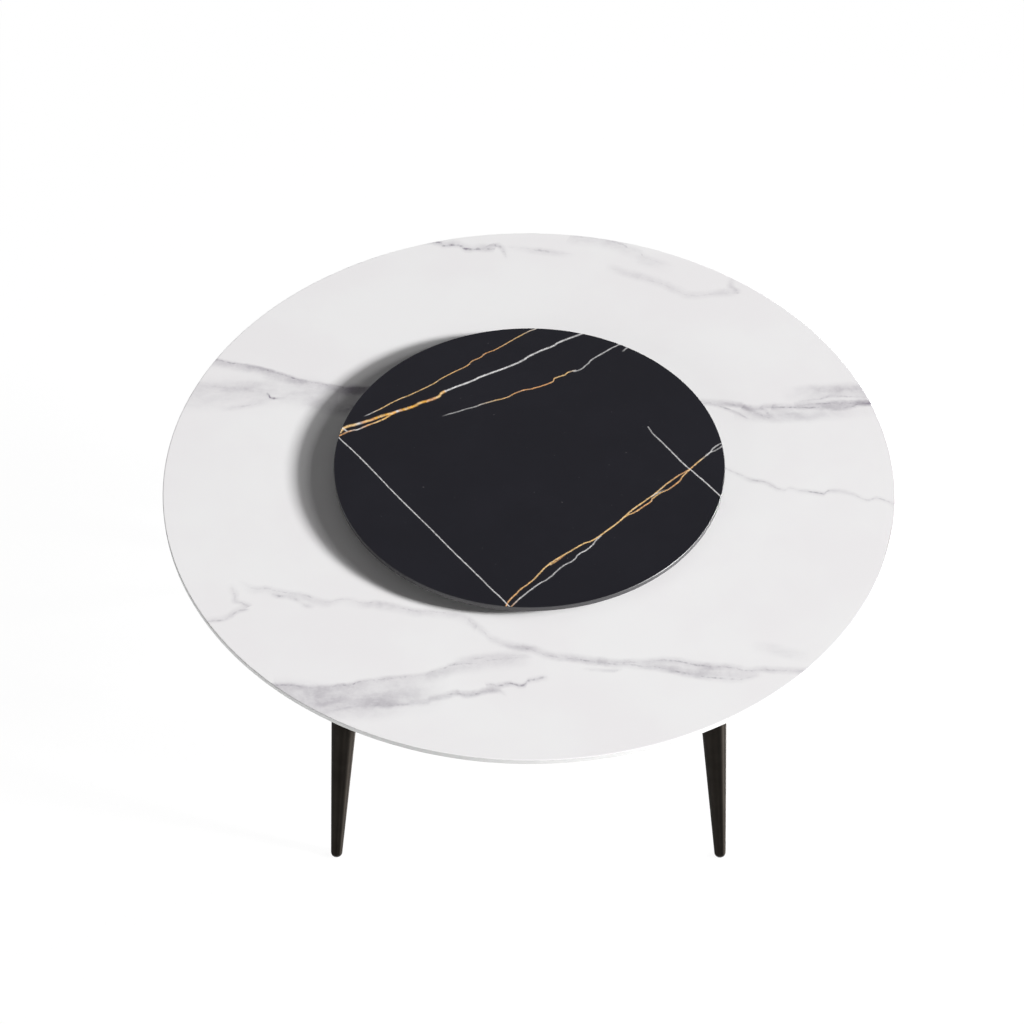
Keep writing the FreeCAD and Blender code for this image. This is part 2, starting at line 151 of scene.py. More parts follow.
# Veins of the white slab, read from the photograph
WHITE_VEINS = (
    # Left side
    # The first vein's far end and the three veins after it lie mostly inside the turntable's cast shadow,
    # where they make that shadow darker still.
    Vein(((-690, 344), (-667, 337), (-635, 327), (-600, 319), (-577, 312), (-550, 302), (-519, 289),
          (-500, 281), (-473, 270), (-450, 266), (-423, 259), (-406, 255), (-387, 249), (-366, 249),
          (-330, 253)),
         grey(0.5, 0.6, 0.7, 0.8, 0.8, 0.65, 0.6, 0.65, 0.9, 1), 5, (9, 30), 0.6),
    Vein(((-480, 203), (-435, 196), (-411, 189), (-384, 186), (-340, 200)),
         grey(0, 0.3, 0.6, 0.9, 0.6), 10, (34, 30), 0.8),
    Vein(((-410, 248), (-385, 243), (-330, 238)), grey(0, 0.6, 0.7), 0, (20, 50), 1),
    Vein(((-396, 254), (-372, 252), (-356, 246), (-335, 244)), grey(0, 0.65, 0.7, 0.5), 0, (18, 28), 1),
    Vein(((-710, 264), (-677, 258), (-650, 252), (-623, 246), (-596, 241), (-565, 236), (-540, 230)),
         grey(0.1, 0.25, 0.25, 0.3, 0.3, 0), 8, (14, 26), 0.7),
    Vein(((-554, 234), (-548, 227), (-542, 220), (-530, 219), (-510, 221)),
         grey(0.3, 1, 0.9, 0.3, 0), 5, (6, 10), 0.4),
    Vein(((-650, 184), (-619, 191), (-590, 197), (-558, 206), (-540, 216)),
         grey(0, 0.2, 0.22, 0.25, 0), 7, (16, 14), 0.8),
    Vein(((-745, 225), (-640, 238), (-560, 245), (-480, 238), (-400, 222)),
         grey(0.15, 0.22, 0.22, 0.2, 0.15), 0, (60, 66), 1),
    # Left of the front
    Vein(((-650, -408), (-620, -405), (-599, -402), (-582, -392), (-571, -380), (-557, -376),
          (-545, -373)),
         grey(0.1, 0.25, 0.35, 0.35, 0.45, 0.5, 0), 6, (16, 10), 0.6),
    Vein(((-550, -369), (-563, -359), (-578, -352), (-579, -338), (-586, -322), (-592, -305)),
         grey(0.5, 0.4, 0.35, 0.25, 0.15, 0), 7, (12, 14), 0.6),
    Vein(((-578, -298), (-561, -309), (-545, -319), (-515, -320), (-499, -326), (-482, -330),
          (-457, -334), (-440, -338), (-420, -348), (-399, -355), (-382, -351), (-349, -350),
          (-324, -357), (-307, -356), (-282, -361), (-257, -368), (-224, -377), (-199, -378),
          (-174, -382), (-140, -389), (-120, -400), (-100, -420)),
         grey(0, 0.28, 0.32, 0.36, 0.3, 0.2, 0.2, 0.4, 0.32, 0.36, 0.3, 0.25, 0.2), 5, (12, 22), 0.65),
    Vein(((-508, -332), (-498, -337), (-484, -341), (-465, -346), (-447, -358), (-434, -366),
          (-418, -370)),
         grey(0, 0.5, 0.1, 0.35, 0.1, 0.35, 0), 6, (10, 10), 0.6),
    # Front, from the turntable to the right rim
    Vein(((-120, -400), (-90, -430), (-65, -456), (-40, -467), (-10, -475), (10, -480), (25, -487),
          (40, -494), (70, -498), (95, -502), (115, -507), (145, -510), (165, -514), (190, -515),
          (220, -520), (250, -523), (275, -529), (300, -537), (330, -544), (360, -549), (395, -552),
          (425, -546), (445, -536)),
         grey(0.15, 0.25, 0.35, 0.6, 0.5, 0.5, 0.6, 0.5, 0.5, 0.55, 0.7, 0.6, 0.5, 0.35, 0.1), 5,
         (18, 14), 0.65),
    Vein(((145, -512), (190, -509), (225, -508), (270, -505), (305, -512), (330, -517), (355, -520),
          (385, -522), (405, -526), (425, -530), (445, -528), (470, -530), (500, -531), (525, -532),
          (560, -534)),
         grey(0.1, 0.35, 0.35, 0.4, 0.55, 0.75, 0.75, 0.4, 0.4, 0.55, 0.45, 0.45), 5, (14, 12), 0.65),
    Vein(((250, -512), (320, -526), (380, -536), (455, -540)), grey(0, 0.3, 0.3, 0), 0, (18, 16), 1),
    Vein(((100, -526), (125, -528), (155, -530), (172, -529), (182, -522)),
         grey(0, 0.2, 0.3, 0.5, 0), 5, (8, 8), 0.5),
    Vein(((430, -466), (470, -474), (505, -484), (545, -494)), grey(0, 0.14, 0.16, 0), 0, (20, 24), 1),
    # Front band and the dark broken vein below it
    Vein(((-525, -567), (-493, -569), (-475, -568), (-456, -568), (-429, -573), (-400, -574),
          (-365, -569), (-343, -567), (-325, -560), (-293, -555), (-266, -550), (-229, -546),
          (-202, -542), (-184, -533), (-161, -524), (-143, -516), (-111, -513), (-84, -508), (-56, -503),
          (-20, -499), (10, -497)),
         grey(0.8, 0.7, 0.45, 0.4, 0.6, 0.65, 0.6, 0.5, 0.4, 0.4, 0.45, 0.4, 0.35, 0.3, 0), 5, (10, 34),
         0.65),
    Vein(((-150, -508), (-100, -500), (-65, -494), (-30, -492), (10, -496)),
         grey(0, 0.3, 0.3, 0.25, 0), 6, (16, 12), 0.8),
    Vein(((-490, -585), (-420, -596), (-360, -604), (-290, -602), (-220, -592), (-150, -575)),
         grey(0.25, 0.42, 0.46, 0.4, 0.22, 0), 0, (46, 62), 1),
    Vein(((-400, -650), (-338, -622), (-300, -618), (-270, -619), (-247, -617), (-211, -612),
          (-195, -610), (-186, -601), (-169, -598), (-153, -593), (-140, -588), (-127, -591),
          (-112, -591), (-98, -588), (-85, -583), (-75, -581), (-60, -579), (-48, -588), (-40, -592)),
         grey(0.2, 0.2, 0.2, 0.3, 0.4, 0.45, 0.4, 0.5, 0.45, 0.55, 0.7, 0.6, 0.75, 0.8, 0), 6, (14, 12),
         0.6),
    Vein(((-84, -566), (-74, -566), (-54, -567), (-39, -563), (-26, -566), (-14, -568), (-8, -566),
          (-1, -556), (13, -552), (24, -549), (38, -547)),
         grey(0.2, 0.4, 0.5, 0.8, 0.95, 0.6, 0.7, 0.95, 0.4, 0.5, 0.5, 0), 6, (10, 12), 0.5),
    # Right side
    Vein(((350, 206), (380, 206), (403, 203), (430, 201), (449, 197), (464, 189), (480, 188), (499, 193),
          (533, 194), (564, 193), (595, 193), (626, 193), (649, 192), (672, 195), (687, 199), (699, 204),
          (718, 205), (755, 207)),
         grey(0.55, 0.6, 0.6, 0.6, 0.5, 0.5, 0.6, 0.7, 0.65, 0.7, 0.9, 0.7, 0.4), 5, (18, 12), 0.7),
    Vein(((392, 200), (406, 195), (422, 186), (437, 178), (449, 168), (455, 163), (464, 157)),
         grey(0.3, 0.5, 0.55, 0.6, 0.5, 0.4, 0), 4.5, (6, 10), 0.5),
    Vein(((450, 196), (472, 180), (491, 168), (505, 160), (535, 150)),
         grey(0.5, 0.5, 0.4, 0.25, 0), 6, (12, 14), 0.7),
    Vein(((486, 193), (499, 180), (507, 168), (522, 158)), grey(0.4, 0.4, 0.3, 0), 6, (10, 10), 0.7),
    Vein(((510, 192), (540, 178), (565, 168), (610, 160)), grey(0.25, 0.25, 0.18, 0), 0, (18, 18), 1),
    Vein(((430, 178), (480, 170), (540, 170), (620, 176), (750, 190)),
         grey(0.1, 0.35, 0.25, 0.12, 0.05), 0, (22, 30), 1),
    Vein(((570, 211), (595, 216), (618, 220), (633, 226), (656, 228), (690, 226), (735, 222)),
         grey(0.15, 0.4, 0.45, 0.35, 0.25, 0.2), 5, (14, 10), 0.6),
    Vein(((560, 200), (600, 203), (649, 207), (690, 207), (745, 213)),
         grey(0.15, 0.5, 0.65, 0.7, 0.55), 6, (16, 16), 0.85),
    Vein(((530, 225), (600, 240), (660, 246), (750, 246)), grey(0, 0.34, 0.4, 0.38), 0, (30, 32), 1),
    Vein(((394, 22), (405, 14), (422, 3), (437, -6), (456, -18), (472, -22), (487, -27), (499, -35),
          (510, -44), (522, -48), (534, -42), (553, -49), (572, -51), (587, -54), (601, -58), (607, -53),
          (622, -49), (649, -54), (672, -66), (687, -75), (711, -70), (726, -76), (738, -84), (755, -92)),
         grey(0.2, 0.25, 0.3, 0.55, 0.6, 0.4, 0.3, 0.5, 0.6, 0.4, 0.3, 0.25, 0.4, 0.3, 0.35), 4.5,
         (10, 12), 0.5),
    # Back
    Vein(((-232, 724), (-209, 719), (-195, 714), (-188, 707), (-175, 709), (-161, 710), (-149, 704),
          (-134, 695), (-115, 697), (-99, 697), (-86, 696), (-72, 702)),
         grey(0.6, 0.6, 0.9, 0.6, 0.9, 0.5, 0.9, 0.6, 0.9, 0.9, 0.4), 8, (22, 16), 0.55),
    Vein(((-95, 703), (-74, 709), (-61, 700), (-55, 688), (-51, 675), (-46, 658)),
         grey(0.5, 0.9, 0.5, 0.3, 0.15, 0), 8, (14, 10), 0.5),
    Vein(((-60, 700), (-15, 700), (8, 694), (28, 691), (45, 687), (63, 684), (110, 676)),
         grey(0, 0.1, 0.15, 0.35, 0.4, 0.3, 0.1, 0), 7, (14, 20), 0.5),
    Vein(((95, 746), (114, 738), (154, 731), (177, 725), (196, 718), (212, 710), (223, 699), (239, 691),
          (250, 683), (256, 670), (270, 662), (289, 652), (330, 636)),
         grey(0.2, 0.26, 0.3, 0.34, 0.36, 0.3, 0.26, 0.32, 0.2, 0.1, 0), 6, (16, 40), 0.65),
    Vein(((170, 640), (212, 618), (235, 608), (266, 593), (285, 585), (300, 577), (320, 562), (331, 556),
          (347, 545), (366, 543), (389, 545), (412, 550), (435, 552), (450, 552), (466, 556)),
         grey(0, 0.15, 0.2, 0.25, 0.25, 0.22, 0.2, 0.18, 0.18, 0.24, 0.32, 0), 7, (22, 20), 0.75),
    Vein(((457, 549), (456, 562), (447, 569), (445, 577), (447, 592), (454, 612)),
         grey(0.28, 0.32, 0.28, 0.2, 0.1, 0), 7, (14, 14), 0.7),
)

# Veins of the black slab, read from the photograph
BLACK_VEINS = (
    # Behind the middle: thin gold, thick white that turns gold, and white that turns amber
    Vein(((22, 402), (14, 396), (2, 390), (-15, 377), (-35, 361), (-50, 348), (-69, 333), (-92, 319),
          (-102, 308), (-117, 298), (-125, 287), (-135, 278), (-154, 265), (-177, 248), (-200, 227),
          (-219, 213), (-235, 202), (-250, 192), (-281, 173), (-308, 152), (-331, 136), (-344, 129)),
         ((0, "pale", 0.7), (0.1, "gold", 0.7), (0.3, "amber", 0.8), (0.6, "gold", 0.8),
          (0.9, "gold", 0.8), (0.97, "pale", 0.6), (1, "pale", 0)), 2.2),
    Vein(((134, 395), (116, 383), (94, 371), (64, 354), (58, 348), (50, 342), (27, 329), (2, 312),
          (-23, 291), (-50, 275), (-69, 265), (-88, 255), (-104, 246), (-117, 237), (-150, 219),
          (-169, 208), (-180, 201)),
         ((0, "pale", 0.75), (0.4, "pale", 0.85), (0.8, "pale", 1), (1, "pale", 0.95)), 3.6),
    Vein(((-172, 206), (-181, 200), (-190, 187), (-208, 177), (-227, 169), (-235, 162), (-250, 154),
          (-269, 146), (-285, 138), (-304, 131), (-323, 121), (-342, 112), (-361, 104), (-377, 98),
          (-385, 90), (-389, 80)),
         ((0, "pale", 0.9), (0.02, "honey", 1), (0.06, "gold", 1), (0.1, "gold", 0.9), (0.13, "amber", 1),
          (0.18, "amber", 1), (0.22, "honey", 1), (0.27, "gold", 1), (0.31, "honey", 1),
          (0.36, "honey", 1), (0.39, "gold", 1), (0.42, "honey", 1), (0.445, "amber", 1),
          (0.47, "pale", 1), (0.5, "amber", 1), (0.53, "gold", 0.95), (0.57, "honey", 1),
          (0.61, "gold", 0.95), (0.65, "honey", 1), (0.7, "amber", 1), (0.73, "gold", 0.95),
          (0.78, "amber", 1), (0.81, "pale", 0.95), (0.86, "gold", 1), (1, "gold", 1)), 5.4),
    Vein(((-275, 143), (-285, 135), (-304, 119), (-323, 108), (-338, 100), (-350, 92), (-361, 89),
          (-373, 84), (-385, 76), (-398, 68)),
         ((0, "honey", 1), (0.35, "gold", 0.9), (0.5, "amber", 0.9), (0.65, "pale", 0.8),
          (0.8, "amber", 0.8), (1, "amber", 0.8)), 3.2),
    Vein(((-390, 99), (-382, 92), (-374, 84)), ((0, "pale", 0.8), (1, "pale", 0.6)), 3.4),
    Vein(((207, 360), (194, 349), (177, 337), (160, 323), (144, 310), (135, 302), (127, 290), (119, 281),
          (112, 273), (102, 267), (94, 265)),
         ((0, "pale", 0.6), (0.6, "pale", 0.65), (1, "pale", 0.45)), 2.7),
    Vein(((102, 268), (85, 263), (75, 254), (58, 246), (54, 242), (50, 233), (40, 227), (23, 219),
          (6, 212), (-15, 206), (-29, 198), (-37, 192), (-48, 185), (-65, 179), (-85, 171), (-100, 165),
          (-108, 160), (-131, 151), (-150, 142), (-169, 135), (-181, 129)),
         ((0, "pale", 0.6), (0.06, "gold", 0.85), (0.14, "gold", 0.8), (0.22, "amber", 0.85),
          (0.45, "amber", 0.9), (0.6, "gold", 0.7), (0.75, "pale", 0.5), (0.95, "pale", 0.4),
          (1, "pale", 0)), 2.6),
    Vein(((218, 347), (210, 338), (203, 330), (199, 325)),
         ((0, "pale", 0.5), (0.7, "pale", 0.5), (1, "pale", 0)), 3),
    # Left of the front: one long straight white line
    Vein(((-397, 75), (-391, 67), (-350, 16), (-300, -52), (-250, -120), (-200, -185), (-150, -252),
          (-100, -316), (-73, -352), (-55, -374), (-41, -393), (-35, -401)),
         ((0, "pale", 0.8), (0.5, "pale", 0.73), (1, "pale", 0.8)), 2.1),
    # Right of the front: a gold one with strands, crossed by a white one
    Vein(((-47, -402), (-45, -398), (-37, -380), (-24, -363), (-14, -350), (-1, -338), (22, -309),
          (42, -284), (58, -270), (81, -252), (108, -231), (135, -215), (158, -193), (181, -170),
          (199, -148), (207, -139), (234, -113), (256, -92), (281, -64), (304, -42), (320, -30),
          (330, -21), (349, 0), (372, 25), (383, 41), (400, 51)),
         ((0, "amber", 0.9), (0.2, "gold", 0.9), (0.38, "gold", 0.9), (0.43, "gold", 0.95),
          (0.48, "gold", 1), (0.6, "gold", 1), (0.7, "gold", 0.85), (0.82, "amber", 0.95),
          (0.89, "gold", 0.85), (0.93, "pale", 0.7), (1, "pale", 0.6)), 2.6),
    Vein(((364, 17), (372, 25), (385, 32), (400, 46)), ((0, "pale", 0.5), (1, "pale", 0.5)), 2.6),
    Vein(((-36, -402), (-34, -398), (-27, -388), (-18, -377), (8, -349), (22, -336), (44, -318),
          (60, -298), (76, -284), (90, -273), (99, -259), (117, -245), (135, -220), (145, -208)),
         ((0, "amber", 0.7), (0.12, "pale", 0.75), (0.5, "pale", 0.6), (0.9, "pale", 0.85),
          (1, "pale", 0.7)), 2.4),
    Vein(((40, -288), (50, -281), (62, -270), (74, -256)),
         ((0, "gold", 0.6), (0.6, "amber", 0.7), (1, "amber", 0)), 3),
    Vein(((188, -161), (199, -152), (217, -141), (233, -126), (246, -115), (250, -106), (264, -92),
          (272, -87), (292, -72), (306, -57), (313, -44), (322, -32), (331, -21)),
         ((0, "gold", 0.9), (0.3, "amber", 0.9), (0.5, "gold", 0.75), (0.7, "amber", 0.85),
          (1, "gold", 0.9)), 2.6),
    Vein(((245, -104), (256, -94), (266, -87), (278, -80)),
         ((0, "pale", 0), (0.4, "pale", 0.6), (1, "pale", 0)), 2.6),
    Vein(((247, 101), (252, 90), (258, 78), (276, 53), (299, 19), (313, -2), (331, -25), (363, -65),
          (388, -99), (396, -109)),
         ((0, "pale", 0.4), (0.2, "pale", 0.65), (0.6, "pale", 0.8), (1, "pale", 0.75)), 2.4),
)


def length(name, description, default):
    return FloatProperty(name=name, description=description, default=default, unit="LENGTH", precision=5)


def angle(name, description, degrees):
    return FloatProperty(name=name, description=description, default=math.radians(degrees), subtype="ANGLE")


def share(name, description, default):
    return FloatProperty(name=name, description=description, default=default, min=0, max=1,
                         subtype="FACTOR")


def level(name, description, default):
    return FloatProperty(name=name, description=description, default=default, min=0)


def count(name, description, default):
    return IntProperty(name=name, description=description, default=default, min=1)


def colour(name, description, default):
    return FloatVectorProperty(name=name, description=description, default=default, min=0, max=1,
                               subtype="COLOR")


def group(kind, name, description):
    return PointerProperty(type=kind, name=name, description=description)


class TopSettings(PropertyGroup):
    rim_points: count("Rim points", "Points round the rim of the slab", 320)
    edge_size: length("Edge radius", "Rounding of both rims", 0.0015)
    edge_steps: count("Edge steps", "Faces across the rounding", 4)
    body: colour("Body", "White of the stone", (0.84, 0.834, 0.837))
    shade: colour("Shade", "Shaded patches of the white", (0.824, 0.809, 0.817))
    vein: colour("Vein", "Grey of the veins", (0.25, 0.224, 0.272))
    edge: colour("Edge", "Body of the stone on the cut edge", (0.5, 0.5, 0.496))
    back: colour("Back", "Unpolished underside", (0.62, 0.615, 0.6))
    polish: share("Roughness", "Roughness of the honed face", 0.36)


class TurntableSettings(PropertyGroup):
    rim_points: count("Rim points", "Points round the rim of the slab", 256)
    edge_size: length("Edge bevel", "Width of the polished bevel on both rims", 0.001)
    edge_steps: count("Edge steps", "Faces across the bevel", 1)
    body: colour("Body", "Black of the stone", (0.012, 0.0117, 0.0163))
    pale: colour("Pale vein", "White of the veins", (0.85, 0.84, 0.84))
    gold: colour("Gold vein", "Gold of the thin veins", (1, 0.65, 0.27))
    amber: colour("Amber vein", "Copper of the thin veins", (0.9, 0.46, 0.19))
    honey: colour("Honey vein", "Deep gold of the thick vein", (1, 0.5, 0.06))
    edge: colour("Edge", "Body of the stone on the cut edge", (0.05, 0.049, 0.052))
    back: colour("Back", "Unpolished underside", (0.03, 0.03, 0.032))
    polish: share("Roughness", "Roughness of the polished face", 0.3)
    edge_polish: share("Edge roughness", "Roughness of the cut edge and its bevels", 0.4)


class LegSettings(PropertyGroup):
    sides: count("Sides", "Points round the leg", 72)
    rings: count("Rings", "Steps along the leg", 24)
    foot_diameter: length("Foot diameter", "Across the leg at its foot", 0.0245)
    top_diameter: length("Top diameter", "Across the leg under its flange", 0.07)
    swell: length("Swell", "Outward bow of the leg's side at half height", 0.0003)
    foot_bevel: length("Foot bevel", "Bevel round the lower end", 0.0006)
    metal: colour("Metal", "Black-brown plating", (0.0195, 0.0168, 0.0143))
    limb: colour("Limb", "Tint of the plating where it is seen at a slant", (0.75, 0.75, 0.75))
    polish: share("Roughness", "Roughness of the plating", 0.55)
    turning: share("Turning", "How far turning marks draw the light into a line along the leg", 0.9)


class HardwareSettings(PropertyGroup):
    bolt_diameter: length("Bolt diameter", "Shank of the leg bolts", 0.008)
    bolt_sides: count("Bolt sides", "Points round a bolt's shank", 24)
    bolt_head_width: length("Bolt head width", "Across the flats of the bolt heads", 0.013)
    bolt_head_height: length("Bolt head height", "Height of the bolt heads", 0.0053)
    bolt_bevel: length("Bolt bevel", "Bevel of the bolt heads and tips", 0.0004)
    bolt_turn: angle("Bolt turn", "Turn of the bolt heads", 15)
    thread_pitch: length("Thread pitch", "Rise of the glide's thread in one turn", 0.00125)
    thread_depth: length("Thread depth", "Depth of the glide's thread", 0.0006)
    thread_steps: count("Thread steps", "Faces in one turn of the thread", 24)
    glide_sides: count("Glide sides", "Points round a glide", 64)
    glide_rounding: share("Glide rounding", "Rounding under a glide, as a share of its height", 0.75)
    glide_steps: count("Glide steps", "Faces across the rounding", 10)
    glide_rim: share("Glide rim", "Bevel of a glide's upper rim, as a share of its height", 0.05)
    pad_sides: count("Pad sides", "Points round a pad", 40)
    pad_steps: count("Pad steps", "Faces across the rounded side of a pad", 8)
    pad_bulge: share("Pad bulge", "How far a pad's side stands out, as a share of its height", 0.35)
    weld_width: length("Weld width", "Width of a weld bead", 0.005)
    weld_sides: count("Weld sides", "Points round a bead", 12)
    weld_ripple: length("Weld ripple", "Length of one ripple of a bead", 0.003)
    weld_share: share("Weld share", "Length of a bead against the side of its plate", 0.85)
    weld_neck: share("Weld neck", "Width of a straight bead between its ripples, as a share", 0.8)
    weld_end: share("Weld end", "Width of a straight bead at its ends, as a share", 0.5)
    weld_press: share("Weld press", "Depth between the ripples of a ring, as a share of its width", 0.1)


def lamp_settings(name, distance, size, turn, rise, power):
    """A group of settings for one square lamp that looks at the middle of the table top."""
    settings = {
        "distance": length("Distance", "Lamp from the middle of the table top", distance),
        "size": length("Size", "Side of the lamp", size),
        "turn": angle("Turn", "Lamp from the right towards the front", turn),
        "rise": angle("Rise", "Lamp above the level of the table top", rise),
        "power": level("Power", "Lamp in watts", power),
    }
    return type(name, (PropertyGroup,), {"__annotations__": settings})


KeyLampSettings = lamp_settings(
    "KeyLampSettings", distance=72, size=8.8, turn=13.6, rise=21.3, power=107000)
UpperLampSettings = lamp_settings(
    "UpperLampSettings", distance=72, size=12.6, turn=7.5, rise=31.1, power=13800)
RimLampSettings = lamp_settings(
    "RimLampSettings", distance=2.6, size=0.3, turn=-18, rise=-4, power=250)
FrontLampSettings = lamp_settings(
    "FrontLampSettings", distance=6, size=1.4, turn=82, rise=-2, power=55)
FillLampSettings = lamp_settings(
    "FillLampSettings", distance=9, size=7, turn=135, rise=5, power=300)


class StageSettings(PropertyGroup):
    focal_length: level("Focal length", "Camera lens in millimetres", 98.4375)
    sensor_width: level("Sensor width", "Camera sensor in millimetres", 36)
    camera_distance: length("Camera distance", "Camera from the table's axis", 4.0138)
    camera_height: length("Camera height", "Camera above the floor", 4.8708)
    camera_turn: angle("Camera turn", "Camera from the front towards the left", 0.291)
    camera_tilt: angle("Camera tilt", "Camera below the horizon", 46.549)
    camera_roll: angle("Camera roll", "Camera about its own line of sight", 0.285)
    camera_shift: level("Camera shift", "Sideways shift of the frame, as a share of its width", 0.0167)
    key: group(KeyLampSettings, "Key", "Main lamp, which casts the shadow")
    upper: group(UpperLampSettings, "Upper", "Lamp above the main one")
    rim: group(RimLampSettings, "Rim", "Low lamp that edges the legs")
    front: group(FrontLampSettings, "Front", "Low lamp in front")
    fill: group(FillLampSettings, "Fill", "Large soft lamp, left of the front")
    ambient: level("Ambient", "Light from all round", 0.092)
    ceiling: level("Ceiling", "Brightness that reflections see overhead", 0.1)
    ceiling_start: share("Ceiling start", "Steepness of a look at which the backdrop starts to dim", 0.2)
    ceiling_end: share("Ceiling end", "Steepness of a look at which the ceiling is reached", 0.5)
    floor_size: length("Floor size", "Side of the floor", 90)
    floor_tone: share("Floor tone", "White of the floor", 0.9)
    floor_shadow: share("Floor shadow", "Share of the floor's look that takes the object's shadow", 0.06)
    floor_fade: length("Floor fade", "Distance at which the floor is plain white", 3)


class TableSettings(PropertyGroup):
    top: group(TopSettings, "Top", "White slab of the table")
    turntable: group(TurntableSettings, "Turntable", "Black turning slab")
    legs: group(LegSettings, "Legs", "Tapered legs")
    hardware: group(HardwareSettings, "Hardware", "Bolts, studs, pads and welds")
    stage: group(StageSettings, "Stage", "Floor, lamps and camera")


class Nodes:
    """Adds and links the nodes of one material or world."""

    def __init__(self, owner):
        owner.use_nodes = True
        self.tree = owner.node_tree
        self.tree.nodes.clear()

    def add(self, kind, inputs=None, **settings):
        """One node with its settings. Its inputs take numbers, colours or other nodes' outputs."""
        node = self.tree.nodes.new("ShaderNode" + kind)
        for name, value in settings.items():
            setattr(node, name, value)
        for name, value in (inputs or {}).items():
            if isinstance(value, bpy.types.NodeSocket):
                self.tree.links.new(value, node.inputs[name])
            else:
                node.inputs[name].default_value = value
        return node

    def place(self):
        """Where a point lies on the piece, in metres."""
        return self.add("TexCoord").outputs["Object"]

    def math(self, operation, *values):
        return self.add("Math", dict(enumerate(values)), operation=operation).outputs[0]

    def dot(self, vector, other):
        return self.add("VectorMath", {0: vector, 1: other}, operation="DOT_PRODUCT").outputs["Value"]

    def parts(self, vector):
        """The X, Y and Z of a vector."""
        return self.add("SeparateXYZ", {0: vector}).outputs

    def mix(self, part, first, second):
        return self.add("Mix", {0: part, 6: first, 7: second}, data_type="RGBA").outputs[2]

    def mottled(self, part, tone, scale):
        """A tone that is scaled where a part is 1."""
        return self.mix(part, opaque(tone), scaled(tone, scale))

    def remap(self, value, between, to=(0, 1)):
        """Carries one range smoothly over to another and stops at its ends."""
        inputs = dict(enumerate((value, *between, *to)))
        return self.add("MapRange", inputs, interpolation_type="SMOOTHSTEP").outputs[0]

    def noise(self, place, size, detail=3, roughness=0.5, output=0):
        """Soft noise whose patches are about one size, in metres."""
        inputs = {"Vector": place, "Scale": 1 / size, "Detail": detail, "Roughness": roughness}
        return self.add("TexNoise", inputs).outputs[output]

    def patches(self, place, size, between, to=(0, 1), detail=3, roughness=0.5):
        """Noise with one range of its levels carried over to another."""
        return self.remap(self.noise(place, size, detail, roughness), between, to)

    def curve(self, value, points):
        """A value carried through a hand-drawn curve."""
        node = self.add("FloatCurve", {"Value": value})
        line = node.mapping.curves[0].points
        line[0].location, line[-1].location = points[0], points[-1]
        for spot in points[1:-1]:
            line.new(*spot)
        node.mapping.update()
        return node.outputs[0]

    def ramp(self, value, stops):
        """Colours and strengths along a run."""
        node = self.add("ValToRGB", {"Fac": value})
        elements = node.color_ramp.elements
        elements[0].position, elements[1].position = stops[0][0], stops[-1][0]
        for position, _ in stops[1:-1]:
            elements.new(position)
        for element, (_, tone) in zip(elements, stops):
            element.color = tone
        return node

    def bump(self, height, depth, strength):
        """A surface normal from a height, with its depth in metres."""
        inputs = {"Height": height, "Distance": depth, "Strength": strength}
        return self.add("Bump", inputs).outputs["Normal"]

    def surface(self, **inputs):
        """The finish of the material, by the names of its sockets with underscores for spaces."""
        named = {name.replace("_", " "): value for name, value in inputs.items()}
        finish = self.add("BsdfPrincipled", named)
        self.add("OutputMaterial", {"Surface": finish.outputs[0]})


def opaque(tone, strength=1):
    return (*tone, strength)


def scaled(tone, scale):
    return opaque([part * scale for part in tone])


def around(value, spread):
    """The range that spreads both ways from a value."""
    return value - spread, value + spread


def new_material(name):
    """A material with its nodes and the place of a point on the piece."""
    material = bpy.data.materials.new(name)
    nodes = Nodes(material)
    return material, nodes, nodes.place()


def lay_vein(nodes, place, grain, smoke, base, vein, palette, fleck=None):
    """A colour with one vein over it. Its path is a curve across the line between its two ends."""
    points = [(Vector(point) + VEIN_SHIFT) * MILLIMETRE for point in vein.points]
    run = points[-1] - points[0]
    along = run.normalized()
    across = Vector((-along.y, along.x))
    shares = [(point - points[0]).dot(along) / run.length for point in points]
    offsets = [(point - points[0]).dot(across) for point in points]
    reach = max(max(map(abs, offsets)), MILLIMETRE)
    start = -points[0].dot(along) / run.length
    part = nodes.math("ADD", nodes.dot(place, (along / run.length).to_3d()), start)
    side = nodes.math("ADD", nodes.dot(place, across.to_3d()), reach - points[0].dot(across))
    path = nodes.curve(part, [(s, 0.5 + o / reach / 2) for s, o in zip(shares, offsets)])
    gap = nodes.math("MULTIPLY_ADD", path, -2 * reach, side)
    stops = [(VEIN_FADE + s * (1 - 2 * VEIN_FADE), opaque(palette[name], strength))
             for s, name, strength in vein.stops]
    ends = [opaque(palette[vein.stops[index][1]], 0) for index in (0, -1)]
    look = nodes.ramp(part, [(0, ends[0]), *stops, (1, ends[1])])
    mask = 0
    if vein.core:
        line = nodes.remap(nodes.math("ABSOLUTE", gap), (0, vein.core * MILLIMETRE), (1, 0))
        mask = nodes.math("MULTIPLY", line, grain)
    if vein.haze:
        left, right = (side_reach * MILLIMETRE for side_reach in vein.halo)
        spread = nodes.math("MAXIMUM", nodes.math("DIVIDE", gap, left), nodes.math("DIVIDE", gap, -right))
        haze = nodes.math("MULTIPLY", nodes.remap(spread, (0, 1), (vein.haze, 0)), smoke)
        mask = nodes.math("MAXIMUM", mask, haze)
    mask = nodes.math("MULTIPLY", mask, look.outputs["Alpha"])
    tone = look.outputs["Color"]
    if fleck:
        tone = nodes.mix(fleck, tone, opaque(palette["pale"]))
    return nodes.mix(mask, base, tone)


